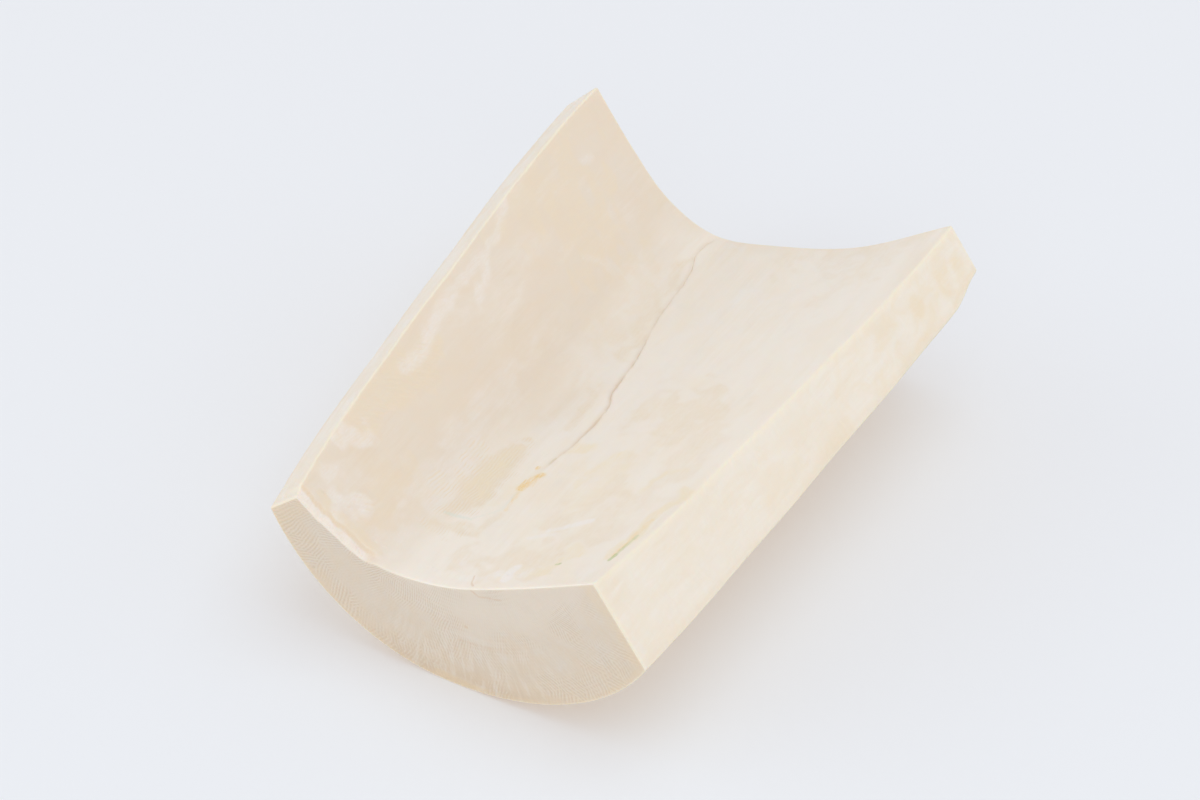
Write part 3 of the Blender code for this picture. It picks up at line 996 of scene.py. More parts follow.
def growth_lines_group():
    """The fine crossing lines of mammoth ivory, two families of spirals, and streaks away from the axis."""
    inputs = [
        ("Spacing", "number", 0.0007),
        ("Slant", "number", 0.4),
        ("Waver", "number", 1.0),
    ]
    outputs = [("Lines", "number"), ("Feathers", "number")]
    sheet, given, result = new_shader_group("Growth lines", inputs, outputs)
    place = sheet.axes()
    along = sheet.math("ADD", place["Y"] / LENGTH, 0.5, clamp=True)
    offset = []
    for axis, front, back in zip("XZ", FRONT_AXIS, BACK_AXIS):
        offset.append(place[axis] - sheet.math("MULTIPLY_ADD", along, back - front, front))
    radius = sheet.math("SQRT", offset[0] * offset[0] + offset[1] * offset[1])
    arc = sheet.math("ARCTAN2", offset[0], offset[1] * -1.0) * GROWTH_RADIUS
    wander = (sheet.noise(150.0) - 0.5) * 3.0
    shiver = (sheet.noise(520.0) - 0.5) * 0.8
    wander = (wander + shiver) * given["Waver"]
    turns = []
    for sign in (1.0, -1.0):
        phase = (arc + radius * given["Slant"] * sign) / given["Spacing"] + wander
        turns.append(sheet.math("SINE", phase * math.tau))
    lead = sheet.ramp(sheet.noise(190.0, 1.0, shift=(0.4, 0.7, 0.1)), 0.44, 0.56)
    lines = turns[0] * lead + turns[1] * (1.0 - lead) + turns[0] * turns[1] * 0.60
    shown = sheet.ramp(sheet.noise(120.0, 3.0, shift=(0.2, 0.5, 0.8)), 0.42, 0.60, 0.10)
    sheet.feed(result["Lines"], lines * shown)
    inputs = {"X": arc, "Y": place["Y"] * 0.3, "Z": radius * 0.20}
    spread_out = sheet.out("Vector", "ShaderNodeCombineXYZ", inputs)
    sheet.feed(result["Feathers"], sheet.noise(1000.0, 3.0, 0.6, 0.4, spread_out))


def parallel_marks_group():
    """Marks that a blade or a scraper leaves side by side."""
    inputs = [
        ("Across", "vector", (0.0, 1.0, 0.0)),
        ("Spacing", "number", 0.001),
        ("Waver", "number", 0.3),
    ]
    sheet, given, result = new_shader_group("Parallel marks", inputs, [("Marks", "number")])
    place = sheet.object_place()
    along = sheet.vector("DOT_PRODUCT", place, given["Across"])
    wander = (sheet.noise(160.0, place=place) - 0.5) * given["Waver"]
    phase = along / given["Spacing"] + wander * 4.0
    uneven = sheet.ramp(sheet.noise(420.0, 3.0, place=place), 0.3, 0.7)
    sheet.feed(result["Marks"], sheet.math("SINE", phase * math.tau) * uneven)


def edge_glow_group():
    """Painted highlight and lighter wear: a narrow band along every sawn edge."""
    inputs = [("Reach", "number", 0.0012)]
    sheet, given, result = new_shader_group("Edge glow", inputs, [("Mask", "number")])
    jitter = (sheet.noise(700.0, 3.0) - 0.5) * 0.0005
    distance = sheet.field("edge_distance") + jitter
    sheet.feed(result["Mask"], sheet.ramp(distance, 0.0001, given["Reach"], 1.0, 0.0))


def bark_rim_group():
    """The thin outer layer of the tusk, where a sawn face cuts through it."""
    inputs = [("Thickness", "number", 0.0013)]
    sheet, given, result = new_shader_group("Bark rim", inputs, [("Mask", "number")])
    slow = sheet.noise(90.0, 1.0) - 0.5
    fine = sheet.noise(800.0, 3.0) - 0.5
    depth = sheet.field("bark_depth") + (slow * 0.0016 + fine * 0.0006)
    outer, inner = given["Thickness"] * 0.5, given["Thickness"] * 1.35
    sheet.feed(result["Mask"], sheet.ramp(depth, outer, inner, 1.0, 0.0))


def ragged_stain_group():
    """A soft field broken up by clouds, and by streaks that follow the grain."""
    inputs = [
        ("Field", "number", 0.0),
        ("Streak size", "number", 0.0006),
        ("Streaks", "number", 1.6),
        ("Clouds", "number", 1.6),
        ("Grain", "number", 0.35),
    ]
    sheet, given, result = new_shader_group("Ragged stain", inputs, [("Mask", "number")])
    scale = 1.0 / given["Streak size"]
    streaks = sheet.noise(scale, 3.0, 0.6, 0.3, stretch=(1.0, 0.13, 1.0), shift=(0.9, 0.2, 0.5))
    clouds = sheet.noise(scale * 0.2, 4.0, 0.6, 0.5, stretch=(1.0, 0.6, 1.0), shift=(0.1, 0.6, 0.2))
    uneven = 1.0 + (streaks - 0.5) * given["Streaks"] + (clouds - 0.5) * given["Clouds"]
    grain = sheet.noise(scale * 2.2, 2.0, 0.6, stretch=(1.0, 0.30, 1.0), shift=(0.4, 0.3, 0.7))
    kept = sheet.ramp(grain, 0.36, 0.60, 1.0 - given["Grain"], 1.0)
    sheet.feed(result["Mask"], sheet.ramp(given["Field"] * uneven, 0.0, 1.0) * kept)


def wandering_place_group():
    """The place on the piece, pushed about a little, so that thin marks come out uneven."""
    inputs = [("Amount", "number", 0.0006), ("Size", "number", 0.0016)]
    sheet, given, result = new_shader_group("Wandering place", inputs, [("Place", "vector")])
    place = sheet.object_place()
    inputs = {"Vector": place, "Scale": 1.0 / given["Size"], "Detail": 3.0}
    push = sheet.vector("SUBTRACT", sheet.out("Color", "ShaderNodeTexNoise", inputs), (0.5, 0.5, 0.5))
    sheet.feed(result["Place"], sheet.vector("ADD", place, sheet.scaled(push, given["Amount"])))


def stroke_mark_group():
    """A short thin mark between two places of a view of the piece from one side."""
    inputs = [
        ("Place", "vector", (0.0, 0.0, 0.0)),
        ("Start", "vector", (0.0, 0.0, 0.0)),
        ("End", "vector", (0.0, 0.0, 0.0)),
        ("Half width", "number", 0.0002),
        ("Border", "number", 0.0005),
    ]
    sheet, given, result = new_shader_group("Stroke mark", inputs, [("Mask", "number")])
    offset = sheet.vector("SUBTRACT", given["Place"], given["Start"])
    way = sheet.vector("SUBTRACT", given["End"], given["Start"])
    reach = sheet.vector("DOT_PRODUCT", offset, way)
    share = sheet.math("DIVIDE", reach, sheet.vector("DOT_PRODUCT", way, way), clamp=True)
    gap = sheet.vector("LENGTH", sheet.vector("SUBTRACT", offset, sheet.scaled(way, share)))
    outer = given["Half width"] + given["Border"]
    sheet.feed(result["Mask"], sheet.ramp(gap, given["Half width"], outer, 1.0, 0.0))


def fine_scratches_group():
    """Hair-fine polishing scratches and small pits, as a height and as a change of gloss."""
    inputs = [("Size", "number", 0.0009)]
    outputs = [("Height", "number"), ("Gloss", "number")]
    sheet, given, result = new_shader_group("Fine scratches", inputs, outputs)
    scale = 1.0 / given["Size"]
    lengthwise = sheet.noise(scale, 4.0, 0.65, stretch=(1.0, 0.05, 1.0))
    slanting = sheet.noise(scale, 3.0, 0.6, stretch=(0.12, 0.5, 0.6), shift=(0.5, 0.5, 0.0))
    soft = sheet.noise(210.0, 3.0)
    sheet.feed(result["Height"], lengthwise + slanting * 0.5 + soft * 0.8)
    sheet.feed(result["Gloss"], sheet.ramp(soft, 0.35, 0.65, -1.0, 1.0))


def make_shader_groups():
    for make in (
        cloudy_ivory_group,
        growth_lines_group,
        parallel_marks_group,
        edge_glow_group,
        bark_rim_group,
        ragged_stain_group,
        wandering_place_group,
        stroke_mark_group,
        fine_scratches_group,
    ):
        make()


def on_face(face, point):
    """A place with 0 on the axis that the face leaves out."""
    given = iter(point)
    return tuple(next(given) if kept else 0.0 for kept in face)


def drawn_marks(sheet, face, marks, broken, grain, streak_size=0.0004):
    """How strongly a list of thin marks, more or less broken up, covers each place of a face."""
    place = sheet.vector("MULTIPLY", sheet.group("Wandering place")["Place"], face)
    covered = 0.0
    for strength, half_width, border, line in marks:
        line = [on_face(face, point) for point in line]
        for start, end in zip(line, line[1:] or line):
            mask = sheet.group(
                "Stroke mark", Place=place, Start=start, End=end, Half_width=half_width, Border=border
            )
            covered = sheet.math("MAXIMUM", covered, mask["Mask"] * strength)
    stain = sheet.group(
        "Ragged stain", Field=covered, Streak_size=streak_size, Streaks=broken, Clouds=broken, Grain=grain
    )
    return stain["Mask"]


def new_material(name):
    """A material with an empty sheet and a shader that has the ivory's own translucence and gloss."""
    material = bpy.data.materials.new(name)
    material.use_nodes = True
    material.node_tree.nodes.clear()
    sheet = NodeSheet(material.node_tree)
    shader = sheet.add("ShaderNodeBsdfPrincipled", IVORY_SHADER)
    sheet.add("ShaderNodeOutputMaterial", {"Surface": sheet.wires(shader)["BSDF"]})
    return material, sheet, shader


def finish_material(sheet, shader, colour, heights, roughness, gloss_change, depth):
    """Joins colour, roughness and the heights, summed by their shares, to the shader."""
    scratches = sheet.group("Fine scratches")
    height = scratches["Height"]
    for share, other in heights:
        height = height + other * share
    change = scratches["Gloss"] * gloss_change
    sheet.feed(shader.inputs["Roughness"], sheet.math("ADD", change, roughness, clamp=True))
    bump = sheet.out("Normal", "ShaderNodeBump", {"Height": height, "Distance": depth, "Strength": 1.0})
    sheet.feed(shader.inputs["Normal"], bump)
    sheet.feed(shader.inputs["Base Color"], colour)


def lit_edges(sheet, colour, colours, reach, share):
    """The colour with a painted highlight and lighter wear along its sawn edges, as far in as the reach."""
    return sheet.mix(sheet.group("Edge glow", Reach=reach)["Mask"] * share, colour, colours.edge)


def bark_cut(sheet, colour, colours, thickness, share):
    """The colour with the bark showing where the face cuts through it."""
    return sheet.mix(sheet.group("Bark rim", Thickness=thickness)["Mask"] * share, colour, colours.rim)


def hollow_ivory(sheet, colours):
    """The hollow's own colour: tan on the left wall, rosier on the right, warmer towards the worn edges."""
    left = sheet.group(
        "Cloudy ivory", Base=colours.hollow, Warm=colours.hollow_warm, Pale=colours.hollow_pale,
        Cloud_size=0.016, Grain=0.05,
    )
    right = sheet.group(
        "Cloudy ivory", Base=colours.hollow_rose, Warm=colours.hollow_rose_warm, Pale=colours.hollow_pale,
        Cloud_size=0.013, Grain=0.04,
    )
    drift = sheet.noise(120.0, 4.0, stretch=(1.0, 0.3, 1.0)) - 0.5
    place = sheet.axes()
    across = sheet.field("crack_side") + drift * 0.015
    across = across + sheet.ramp(place["Y"], 0.020, 0.050, 0.007, 0.002)
    colour = sheet.mix(sheet.ramp(across, -0.010, 0.005), left["Color"], right["Color"])
    worn = sheet.ramp(sheet.field("edge_distance") + drift * 0.012, 0.0002, 0.0060, 1.0, 0.0)
    to_back = sheet.ramp(place["Y"], 0.020, 0.050, 0.0, 0.5)
    to_left = sheet.ramp(place["X"], -0.020, -0.028, 0.0, 0.4)
    share = worn * sheet.math("MAXIMUM", to_back, to_left) * 0.60
    return sheet.mix(share, colour, colours.worn_edge)


def hollow_material(colours):
    """The polished inside of the tusk, with its stains, blooms, tool marks and crack."""
    material, sheet, shader = new_material("Polished hollow")
    colour = hollow_ivory(sheet, colours)
    for name, streak_size, streaks, clouds, share, tone in (
        ("tan", 0.0008, 1.2, 1.0, 0.80, colours.tan_stain),
        ("yellow", 0.0005, 2.0, 1.6, 0.70, colours.yellow_stain),
        ("pale", 0.0007, 1.4, 1.0, 0.60, colours.bloom),
        ("chipped", 0.0006, 0.8, 0.8, 0.90, colours.chipped),
        # The chip's wall: painted shade in a tan tone
        ("chip_wall_shade", 0.0005, 0.8, 0.8, 0.95, colours.chip_wall_shade),
    ):
        stain = sheet.group(
            "Ragged stain", Field=sheet.field(name), Streak_size=streak_size, Streaks=streaks, Clouds=clouds
        )
        colour = sheet.mix(stain["Mask"] * share, colour, tone)
    for marks, broken, grain, share, tone in (
        (WHITE_MARKS, 1.4, 0.40, 0.75, colours.white_mark),
        (ORANGE_MARKS, 2.2, 0.55, 0.95, colours.orange_stain),
        (GREEN_MARKS, 1.6, 0.30, 0.70, colours.green_mark),
        (TEAL_MARKS, 1.2, 0.30, 0.65, colours.teal_mark),
        (HAIRLINE, 0.8, 0.20, 0.70, colours.crack),
    ):
        mask = drawn_marks(sheet, HOLLOW_FACE, marks, broken, grain)
        colour = sheet.mix(mask * share, colour, tone)
    tool = sheet.group("Parallel marks", Across=(-0.538, 0.722, 0.428), Spacing=0.0011, Waver=0.25)
    tool_marks = tool["Marks"] * sheet.field("tool_marked")
    colour = sheet.mix(sheet.ramp(tool_marks, 0.1, 0.9, 0.0, 0.5), colour, colours.tan_stain)
    fibre = sheet.group("Parallel marks", Across=(0.98, 0.0, 0.2), Spacing=0.00062, Waver=0.80)
    fibres = fibre["Marks"] * sheet.field("fibred")
    colour = sheet.mix(sheet.ramp(fibres, 0.0, 0.8, 0.0, 0.80), colour, colours.tan_stain)
    colour = sheet.mix(sheet.ramp(fibres, 0.0, -0.8, 0.0, 0.50), colour, colours.hollow_pale)
    # Painted highlight along the hollow's edges, strongest along the front edge
    lit = sheet.ramp(sheet.axes()["Y"], -0.0588, -0.0570, 0.10, 0.45)
    colour = lit_edges(sheet, colour, colours, reach=0.0005, share=lit)
    # The crack's dirt, with painted shade beside its left side
    colour = sheet.mix(sheet.field("crack_dirt_and_shade") * 0.58, colour, colours.crack)
    heights = [(0.5, tool_marks)]
    finish_material(sheet, shader, colour, heights, roughness=0.40, gloss_change=0.06, depth=0.00007)
    return material


def sawn_side_material(colours):
    """The two long sawn faces: cream, mottled towards the back, with a band where the bark is cut."""
    material, sheet, shader = new_material("Sawn side")
    body = sheet.group(
        "Cloudy ivory", Base=colours.side, Warm=colours.side_warm, Pale=colours.side_pale,
        Cloud_size=0.009, Grain=0.05,
    )
    place = sheet.axes()
    mottle = sheet.noise(230.0, 5.0, 0.6, 0.7, stretch=(1.0, 0.8, 1.0), shift=(0.0, 0.3, 0.0))
    to_back = sheet.ramp(place["Y"], -0.020, 0.055, 0.25, 1.0)
    blotches = sheet.ramp(mottle, 0.40, 0.72) * to_back
    colour = sheet.mix(blotches * 0.60, body["Color"], colours.side_blotch)
    spots = drawn_marks(sheet, SIDE_FACE, SIDE_SPOTS, 0.8, 0.3, 0.0009)
    to_right = sheet.ramp(place["X"], 0.0, 0.001)
    colour = sheet.mix(spots * to_right * 0.8, colour, colours.side_blotch)
    colour = bark_cut(sheet, colour, colours, thickness=0.0016, share=0.16)
    marks = sheet.group("Parallel marks", Across=(0.25, 0.92, 0.3), Spacing=0.0019, Waver=0.5)["Marks"]
    colour = sheet.mix(sheet.ramp(marks, 0.2, 1.0, 0.0, 0.20), colour, colours.side_warm)
    # A broad painted highlight along the upper edges, and a narrow one along every edge
    upper = sheet.ramp(sheet.field("bark_depth"), 0.006, 0.011)
    colour = lit_edges(sheet, colour, colours, reach=0.0020, share=upper * 0.35)
    colour = lit_edges(sheet, colour, colours, reach=0.0005, share=0.5)
    heights = [(0.35, marks)]
    finish_material(sheet, shader, colour, heights, roughness=0.42, gloss_change=0.06, depth=0.00007)
    return material


def sawn_end_material(colours):
    """The two end faces, where the growth lines and the bark's cut edge show."""
    material, sheet, shader = new_material("Sawn end")
    body = sheet.group(
        "Cloudy ivory", Base=colours.end, Warm=colours.end_warm, Pale=colours.end_pale,
        Cloud_size=0.008, Grain=0.02,
    )
    place = sheet.axes()
    drift = sheet.noise(150.0, 4.0) - 0.5
    depth = sheet.field("bark_depth") + drift * 0.010
    inner = sheet.ramp(depth, 0.011, 0.020, 0.0, 0.75)
    colour = sheet.mix(inner, body["Color"], colours.end_light)
    outer = sheet.ramp(depth, 0.0002, 0.0090, 0.55, 0.0)
    colour = sheet.mix(outer, colour, colours.end_ochre)
    # Painted shade: the sawn end darker towards the floor, where the contact shadow falls
    low = sheet.ramp(place["Z"], 0.0, 0.008, 0.60, 0.0)
    colour = sheet.mix(low, colour, colours.end_floor_shade)
    growth = sheet.group("Growth lines", Spacing=0.00068, Slant=0.38, Waver=1.0)
    lines, feathers = growth["Lines"], growth["Feathers"]
    colour = sheet.mix(sheet.ramp(lines, -0.2, 1.0, 0.0, 0.60), colour, colours.growth_line)
    colour = sheet.mix(sheet.ramp(lines, 0.2, -1.0, 0.0, 0.45), colour, colours.growth_pale)
    sideways = sheet.math("ABSOLUTE", place["X"] - 0.001)
    shown = sheet.ramp(depth, 0.016, 0.005, 0.2, 1.0) * sheet.ramp(sideways, 0.022, 0.010, 0.3, 1.0)
    colour = sheet.mix(sheet.ramp(feathers, 0.48, 0.66, 0.0, 0.45) * shown, colour, colours.growth_pale)
    colour = sheet.mix(sheet.ramp(feathers, 0.50, 0.34, 0.0, 0.30) * shown, colour, colours.growth_line)
    colour = bark_cut(sheet, colour, colours, thickness=0.0009, share=0.25)
    to_front = sheet.ramp(place["Y"], 0.0, -0.001)
    for marks, share, tone in (
        (END_OCHRE, 0.65, colours.rim),
        (END_PALE, 0.60, colours.growth_pale),
        (END_DARK, 0.80, colours.crack),
    ):
        mask = drawn_marks(sheet, END_FACE, marks, 1.6, 0.5) * to_front
        colour = sheet.mix(mask * share, colour, tone)
    # Painted highlight along the end's edges
    colour = lit_edges(sheet, colour, colours, reach=0.0003, share=0.25)
    marks = sheet.group("Parallel marks", Across=(0.8, 0.0, 0.6), Spacing=0.0006, Waver=0.2)["Marks"]
    heights = [(0.20, marks), (0.30, lines)]
    finish_material(sheet, shader, colour, heights, roughness=0.50, gloss_change=0.05, depth=0.00006)
    return material


def bark_material(colours):
    """The tusk's outside, rubbed smooth, with ridges and stains along its length."""
    material, sheet, shader = new_material("Outer bark")
    body = sheet.group(
        "Cloudy ivory", Base=colours.bark, Warm=colours.bark_warm, Pale=colours.bark_pale,
        Cloud_size=0.014, Grain=0.08,
    )
    ridges = sheet.noise(420.0, 4.0, 0.6, stretch=(1.0, 0.06, 1.0), shift=(0.2, 0.0, 0.6))
    colour = sheet.mix(sheet.ramp(ridges, 0.50, 0.75, 0.0, 0.6), body["Color"], colours.bark_streak)
    pits = sheet.ramp(sheet.noise(620.0, 2.0, stretch=(1.0, 0.5, 1.0)), 0.64, 0.74)
    colour = sheet.mix(pits * 0.35, colour, colours.bark_streak)
    # Painted highlight along the bark's edges
    colour = lit_edges(sheet, colour, colours, reach=0.0010, share=0.6)
    heights = [(1.2, ridges), (-0.8, pits)]
    finish_material(sheet, shader, colour, heights, roughness=0.46, gloss_change=0.07, depth=0.00012)
    return material


def relief_tree():
    """Low relief: flutes along the bark, and a soft waver in the hollow and on the sawn faces."""
    tree = bpy.data.node_groups.new("Ivory relief", "GeometryNodeTree")
    tree.is_modifier = True
    sockets = [
        ("Geometry", "shape", None),
        ("Flute depth", "number", 0.0001),
        ("Flute spacing", "number", 0.004),
        ("Hollow waver", "number", 0.0001),
        ("Hollow wave length", "number", 0.015),
        ("Saw waver", "number", 0.00005),
        ("Saw mark spacing", "number", 0.0045),
        ("Seed", "count", 0),
    ]
    sockets += [(label, "material", None) for label in FINISHES]
    add_sockets(tree, sockets, [("Geometry", "shape")])
    sheet = NodeSheet(tree)
    given = sheet.wires(sheet.add("NodeGroupInput"))
    place = sheet.out("Position", "GeometryNodeInputPosition")
    seed = given["Seed"] * 1.37

    def share(name):
        return sheet.out("Attribute", "GeometryNodeInputNamedAttribute", {"Name": name}, data_type="FLOAT")

    def waves(stretch, spacing):
        inputs = {"Vector": sheet.vector("MULTIPLY", place, stretch), "W": seed, "Detail": 2.0}
        inputs["Scale"] = 1.0 / spacing
        return sheet.out(0, "ShaderNodeTexNoise", inputs, noise_dimensions="4D")

    flutes = waves((1.0, 0.08, 1.0), given["Flute spacing"]) * -1.0
    flutes = flutes * given["Flute depth"] * share("bark_share")
    swell = (waves((1.0, 0.7, 1.0), given["Hollow wave length"]) - 0.5) * 2.0
    swell = swell * given["Hollow waver"] * share("hollow_share")
    saw = waves((0.3, 1.0, 0.3), given["Saw mark spacing"]) * -1.0
    saw = saw * given["Saw waver"] * share("sawn_share")
    outwards = sheet.out("Normal", "GeometryNodeInputNormal")
    inputs = {"Geometry": given["Geometry"], "Offset": sheet.scaled(outwards, flutes + swell + saw)}
    moved = sheet.out("Geometry", "GeometryNodeSetPosition", inputs)
    shown = sheet.out("Geometry", "GeometryNodeRealizeInstances", {"Geometry": moved})
    region = sheet.out("Attribute", "GeometryNodeInputNamedAttribute", {"Name": "region"}, data_type="INT")
    for label, numbers in FINISHES.items():
        for number in numbers:
            inputs = {2: region, 3: number}
            same = sheet.out(0, "FunctionNodeCompare", inputs, data_type="INT", operation="EQUAL")
            inputs = {"Geometry": shown, "Selection": same, "Material": given[label]}
            shown = sheet.out("Geometry", "GeometryNodeSetMaterial", inputs)
    sheet.add("NodeGroupOutput", {"Geometry": shown})
    return tree


def give_relief(piece, sizes, materials):
    """Runs the relief tree on the piece and keeps its result as a plain mesh."""
    tree = relief_tree()
    modifier = piece.modifiers.new("Ivory relief", "NODES")
    modifier.node_group = tree
    values = {
        "Flute depth": sizes.flute_depth,
        "Flute spacing": sizes.flute_spacing,
        "Hollow waver": sizes.hollow_waver,
        "Saw waver": sizes.saw_waver,
        "Seed": sizes.seed,
        **materials,
    }
    for item in tree.interface.items_tree:
        if item.in_out == "INPUT" and item.name in values:
            modifier[item.identifier] = values[item.name]
    graph = bpy.context.evaluated_depsgraph_get()
    result = bpy.data.meshes.new_from_object(
        piece.evaluated_get(graph), preserve_all_data_layers=True, depsgraph=graph
    )
    piece.modifiers.remove(modifier)
    piece.data = result
    keep_in_box(result)


def keep_in_box(mesh):
    """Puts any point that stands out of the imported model's box back onto it."""
    places = np.empty(3 * len(mesh.vertices), np.float32)
    mesh.vertices.foreach_get("co", places)
    low, high = (np.array(corner, np.float32) for corner in CAD_BOX)
    places = np.clip(places.reshape(-1, 3), low, high)
    mesh.vertices.foreach_set("co", places.ravel())


def colour_property(name, description, value):
    return bpy.props.FloatVectorProperty(
        name=name, description=description, default=(*value, 1.0), size=4, subtype="COLOR", min=0.0, max=1.0
    )


def length_property(name, description, value):
    return bpy.props.FloatProperty(
        name=name, description=description, default=value, subtype="DISTANCE", unit="LENGTH", precision=5,
        min=0.0,
    )


def strength_property(name, description, value):
    return bpy.props.FloatProperty(
        name=name, description=description, default=value, subtype="FACTOR", min=0.0, soft_max=2.0
    )


class IvorySizes(bpy.types.PropertyGroup):
    """Sizes of the piece's fine shape"""

    edge_round: length_property("Edge rounding", "How far the long sawn edges are rounded", 0.00045)
    rim_round: length_property("Rim rounding", "How far the edges of both ends are rounded", 0.00024)
    crack_width: length_property("Crack width", "Width of the crack where it is widest", 0.0008)
    crack_depth: length_property("Crack depth", "Depth of the crack where it is widest", 0.00014)
    crack_step: length_property("Crack step", "How much higher the right lip stands", 0.00016)
    crack_lip_reach: length_property("Lip reach", "How far the right lip's rise reaches", 0.0026)
    ledge_depth: length_property("Ledge depth", "Depth of the chipped ledge at the front edge", 0.0010)
    flute_depth: length_property("Flute depth", "Depth of the flutes along the bark", 0.00016)
    flute_spacing: length_property("Flute spacing", "Spacing of the flutes along the bark", 0.0042)
    hollow_waver: length_property("Hollow waver", "Height of the soft waves in the hollow", 0.00016)
    saw_waver: length_property("Saw waver", "Depth of the unevenness that the saw left", 0.00008)
    seed: bpy.props.IntProperty(name="Seed", description="Starts all that is left to chance", default=7)


class IvoryColours(bpy.types.PropertyGroup):
    """Colours of the ivory"""

    hollow: colour_property("Hollow", "Polished hollow, left wall", (0.805, 0.700, 0.580))
    hollow_warm: colour_property("Hollow, warm", "Warmer clouds on the left wall", (0.808, 0.686, 0.548))
    hollow_pale: colour_property("Hollow, pale", "Paler flecks in the hollow", (0.855, 0.778, 0.690))
    hollow_rose: colour_property("Hollow, rose", "Right half of the hollow", (0.897, 0.822, 0.728))
    hollow_rose_warm: colour_property("Hollow, rose warm", "Its warmer clouds", (0.895, 0.803, 0.685))
    worn_edge: colour_property("Worn edges", "The hollow beside its worn edges", (0.825, 0.705, 0.545))
    tan_stain: colour_property("Tan stain", "Tan stains and tool marks", (0.830, 0.700, 0.530))
    yellow_stain: colour_property("Yellow stain", "Yellow streaks and specks", (0.880, 0.755, 0.540))
    orange_stain: colour_property("Orange stain", "Stain at the crack's near end", (0.880, 0.620, 0.250))
    green_mark: colour_property("Green mark", "Greenish lines beside the edge", (0.470, 0.540, 0.240))
    teal_mark: colour_property("Teal mark", "A faint bluish arc near the front", (0.690, 0.760, 0.680))
    bloom: colour_property("Bloom", "Pale worn streaks", (0.875, 0.822, 0.780))
    white_mark: colour_property("White marks", "Small white spots near the front", (0.905, 0.860, 0.840))
    chipped: colour_property("Chipped", "The floor of the chipped ledge", (0.880, 0.800, 0.720))
    # Painted shade on the chip's wall, in a tan tone
    chip_wall_shade: colour_property("Chip wall", "The wall of the chipped ledge", (0.800, 0.655, 0.475))
    # Also the tone of the painted shade beside the crack
    crack: colour_property("Crack", "Dirt in the crack", (0.700, 0.530, 0.370))
    # Painted highlight along the sawn edges, which also stands for their lighter wear
    edge: colour_property("Edge", "Thin lit edges", (0.900, 0.825, 0.660))
    side: colour_property("Side", "Sawn side", (0.870, 0.790, 0.680))
    side_warm: colour_property("Side, warm", "Warmer mottling of the side", (0.865, 0.765, 0.630))
    side_pale: colour_property("Side, pale", "Paler mottling of the side", (0.885, 0.820, 0.735))
    side_blotch: colour_property("Side blotches", "Ochre blotches of the side", (0.850, 0.710, 0.510))
    end: colour_property("End", "Sawn end", (0.730, 0.632, 0.515))
    end_warm: colour_property("End, warm", "Warmer parts of the sawn end", (0.735, 0.615, 0.475))
    end_pale: colour_property("End, pale", "Greyer parts of the sawn end", (0.725, 0.650, 0.565))
    end_ochre: colour_property("End, ochre", "The sawn end towards the bark", (0.745, 0.600, 0.430))
    # Painted shade of the sawn end close to the floor
    end_floor_shade: colour_property("End, low", "The sawn end close to the floor", (0.620, 0.480, 0.330))
    end_light: colour_property("End, light", "The sawn end towards the hollow", (0.775, 0.685, 0.575))
    growth_line: colour_property("Growth lines", "Dark growth lines of the sawn end", (0.655, 0.535, 0.400))
    growth_pale: colour_property("Growth lines, pale", "Pale lines of the sawn end", (0.790, 0.715, 0.620))
    rim: colour_property("Bark rim", "The bark where it is cut through", (0.800, 0.640, 0.430))
    bark: colour_property("Bark", "Outside of the tusk", (0.800, 0.690, 0.530))
    bark_warm: colour_property("Bark, warm", "Warmer parts of the outside", (0.770, 0.620, 0.430))
    bark_pale: colour_property("Bark, pale", "Rubbed parts of the outside", (0.830, 0.750, 0.630))
    bark_streak: colour_property("Bark streaks", "Stained ridges of the outside", (0.680, 0.510, 0.330))


class StudioSettings(bpy.types.PropertyGroup):
    """Floor and light"""

    floor: colour_property("Floor", "Pale floor", (0.512, 0.641, 0.738))
    glow: colour_property("Glow", "Light that comes up through the pale sheet", (0.917, 0.625, 0.458))
    sky: colour_property("Surroundings", "Light from all round", (0.95, 0.97, 1.0))
    sky_strength: strength_property("Surroundings strength", "Brightness of the light from all round", 0.66)
    sky_seen: strength_property("Backdrop", "Brightness of the backdrop beyond the floor", 1.0)
    softbox_share: strength_property("Softboxes", "Dims or lifts all softboxes together", 1.0)
    glow_strength: strength_property("Glow strength", "Brightness of the sheet's own glow", 0.36)


class MAMMOTH_OT_add_stage(bpy.types.Operator):
    """Adds the pale floor, the soft light and the camera"""

    bl_idname = "mammoth.add_stage"
    bl_label = "Studio"

    def execute(self, context):
        studio = context.scene.mammoth_studio
        add_floor(studio)
        add_surroundings(studio)
        for name, (place, wide, high, power) in SOFTBOXES.items():
            add_softbox(name, place, wide, high, power * studio.softbox_share)
        add_camera()
        context.scene.view_settings.view_transform = "Standard"
        context.scene.view_settings.look = "None"
        return {"FINISHED"}


def add_floor(studio):
    """Adds the pale sheet, which glows a little, because light comes up through it."""
    mesh = bpy.data.meshes.new("studio_floor")
    corners = [(x * FLOOR_HALF, y * FLOOR_HALF, 0.0) for x, y in ((-1, -1), (1, -1), (1, 1), (-1, 1))]
    mesh.from_pydata(corners, [], [(0, 1, 2, 3)])
    floor = bpy.data.objects.new("studio_floor", mesh)
    bpy.context.scene.collection.objects.link(floor)
    material = bpy.data.materials.new("Pale floor")
    material.use_nodes = True
    sheet = NodeSheet(material.node_tree)
    drifted = [channel * FLOOR_DRIFT for channel in studio.floor[:3]] + [1.0]
    inputs = {
        "Base Color": sheet.mix(sheet.noise(3.0, 1.0), studio.floor, drifted),
        "Roughness": 0.6,
        "Specular IOR Level": 0.25,
        "Emission Color": studio.glow,
        "Emission Strength": studio.glow_strength,
    }
    shader = material.node_tree.nodes["Principled BSDF"]
    for name, value in inputs.items():
        sheet.feed(shader.inputs[name], value)
    mesh.materials.append(material)
    return floor


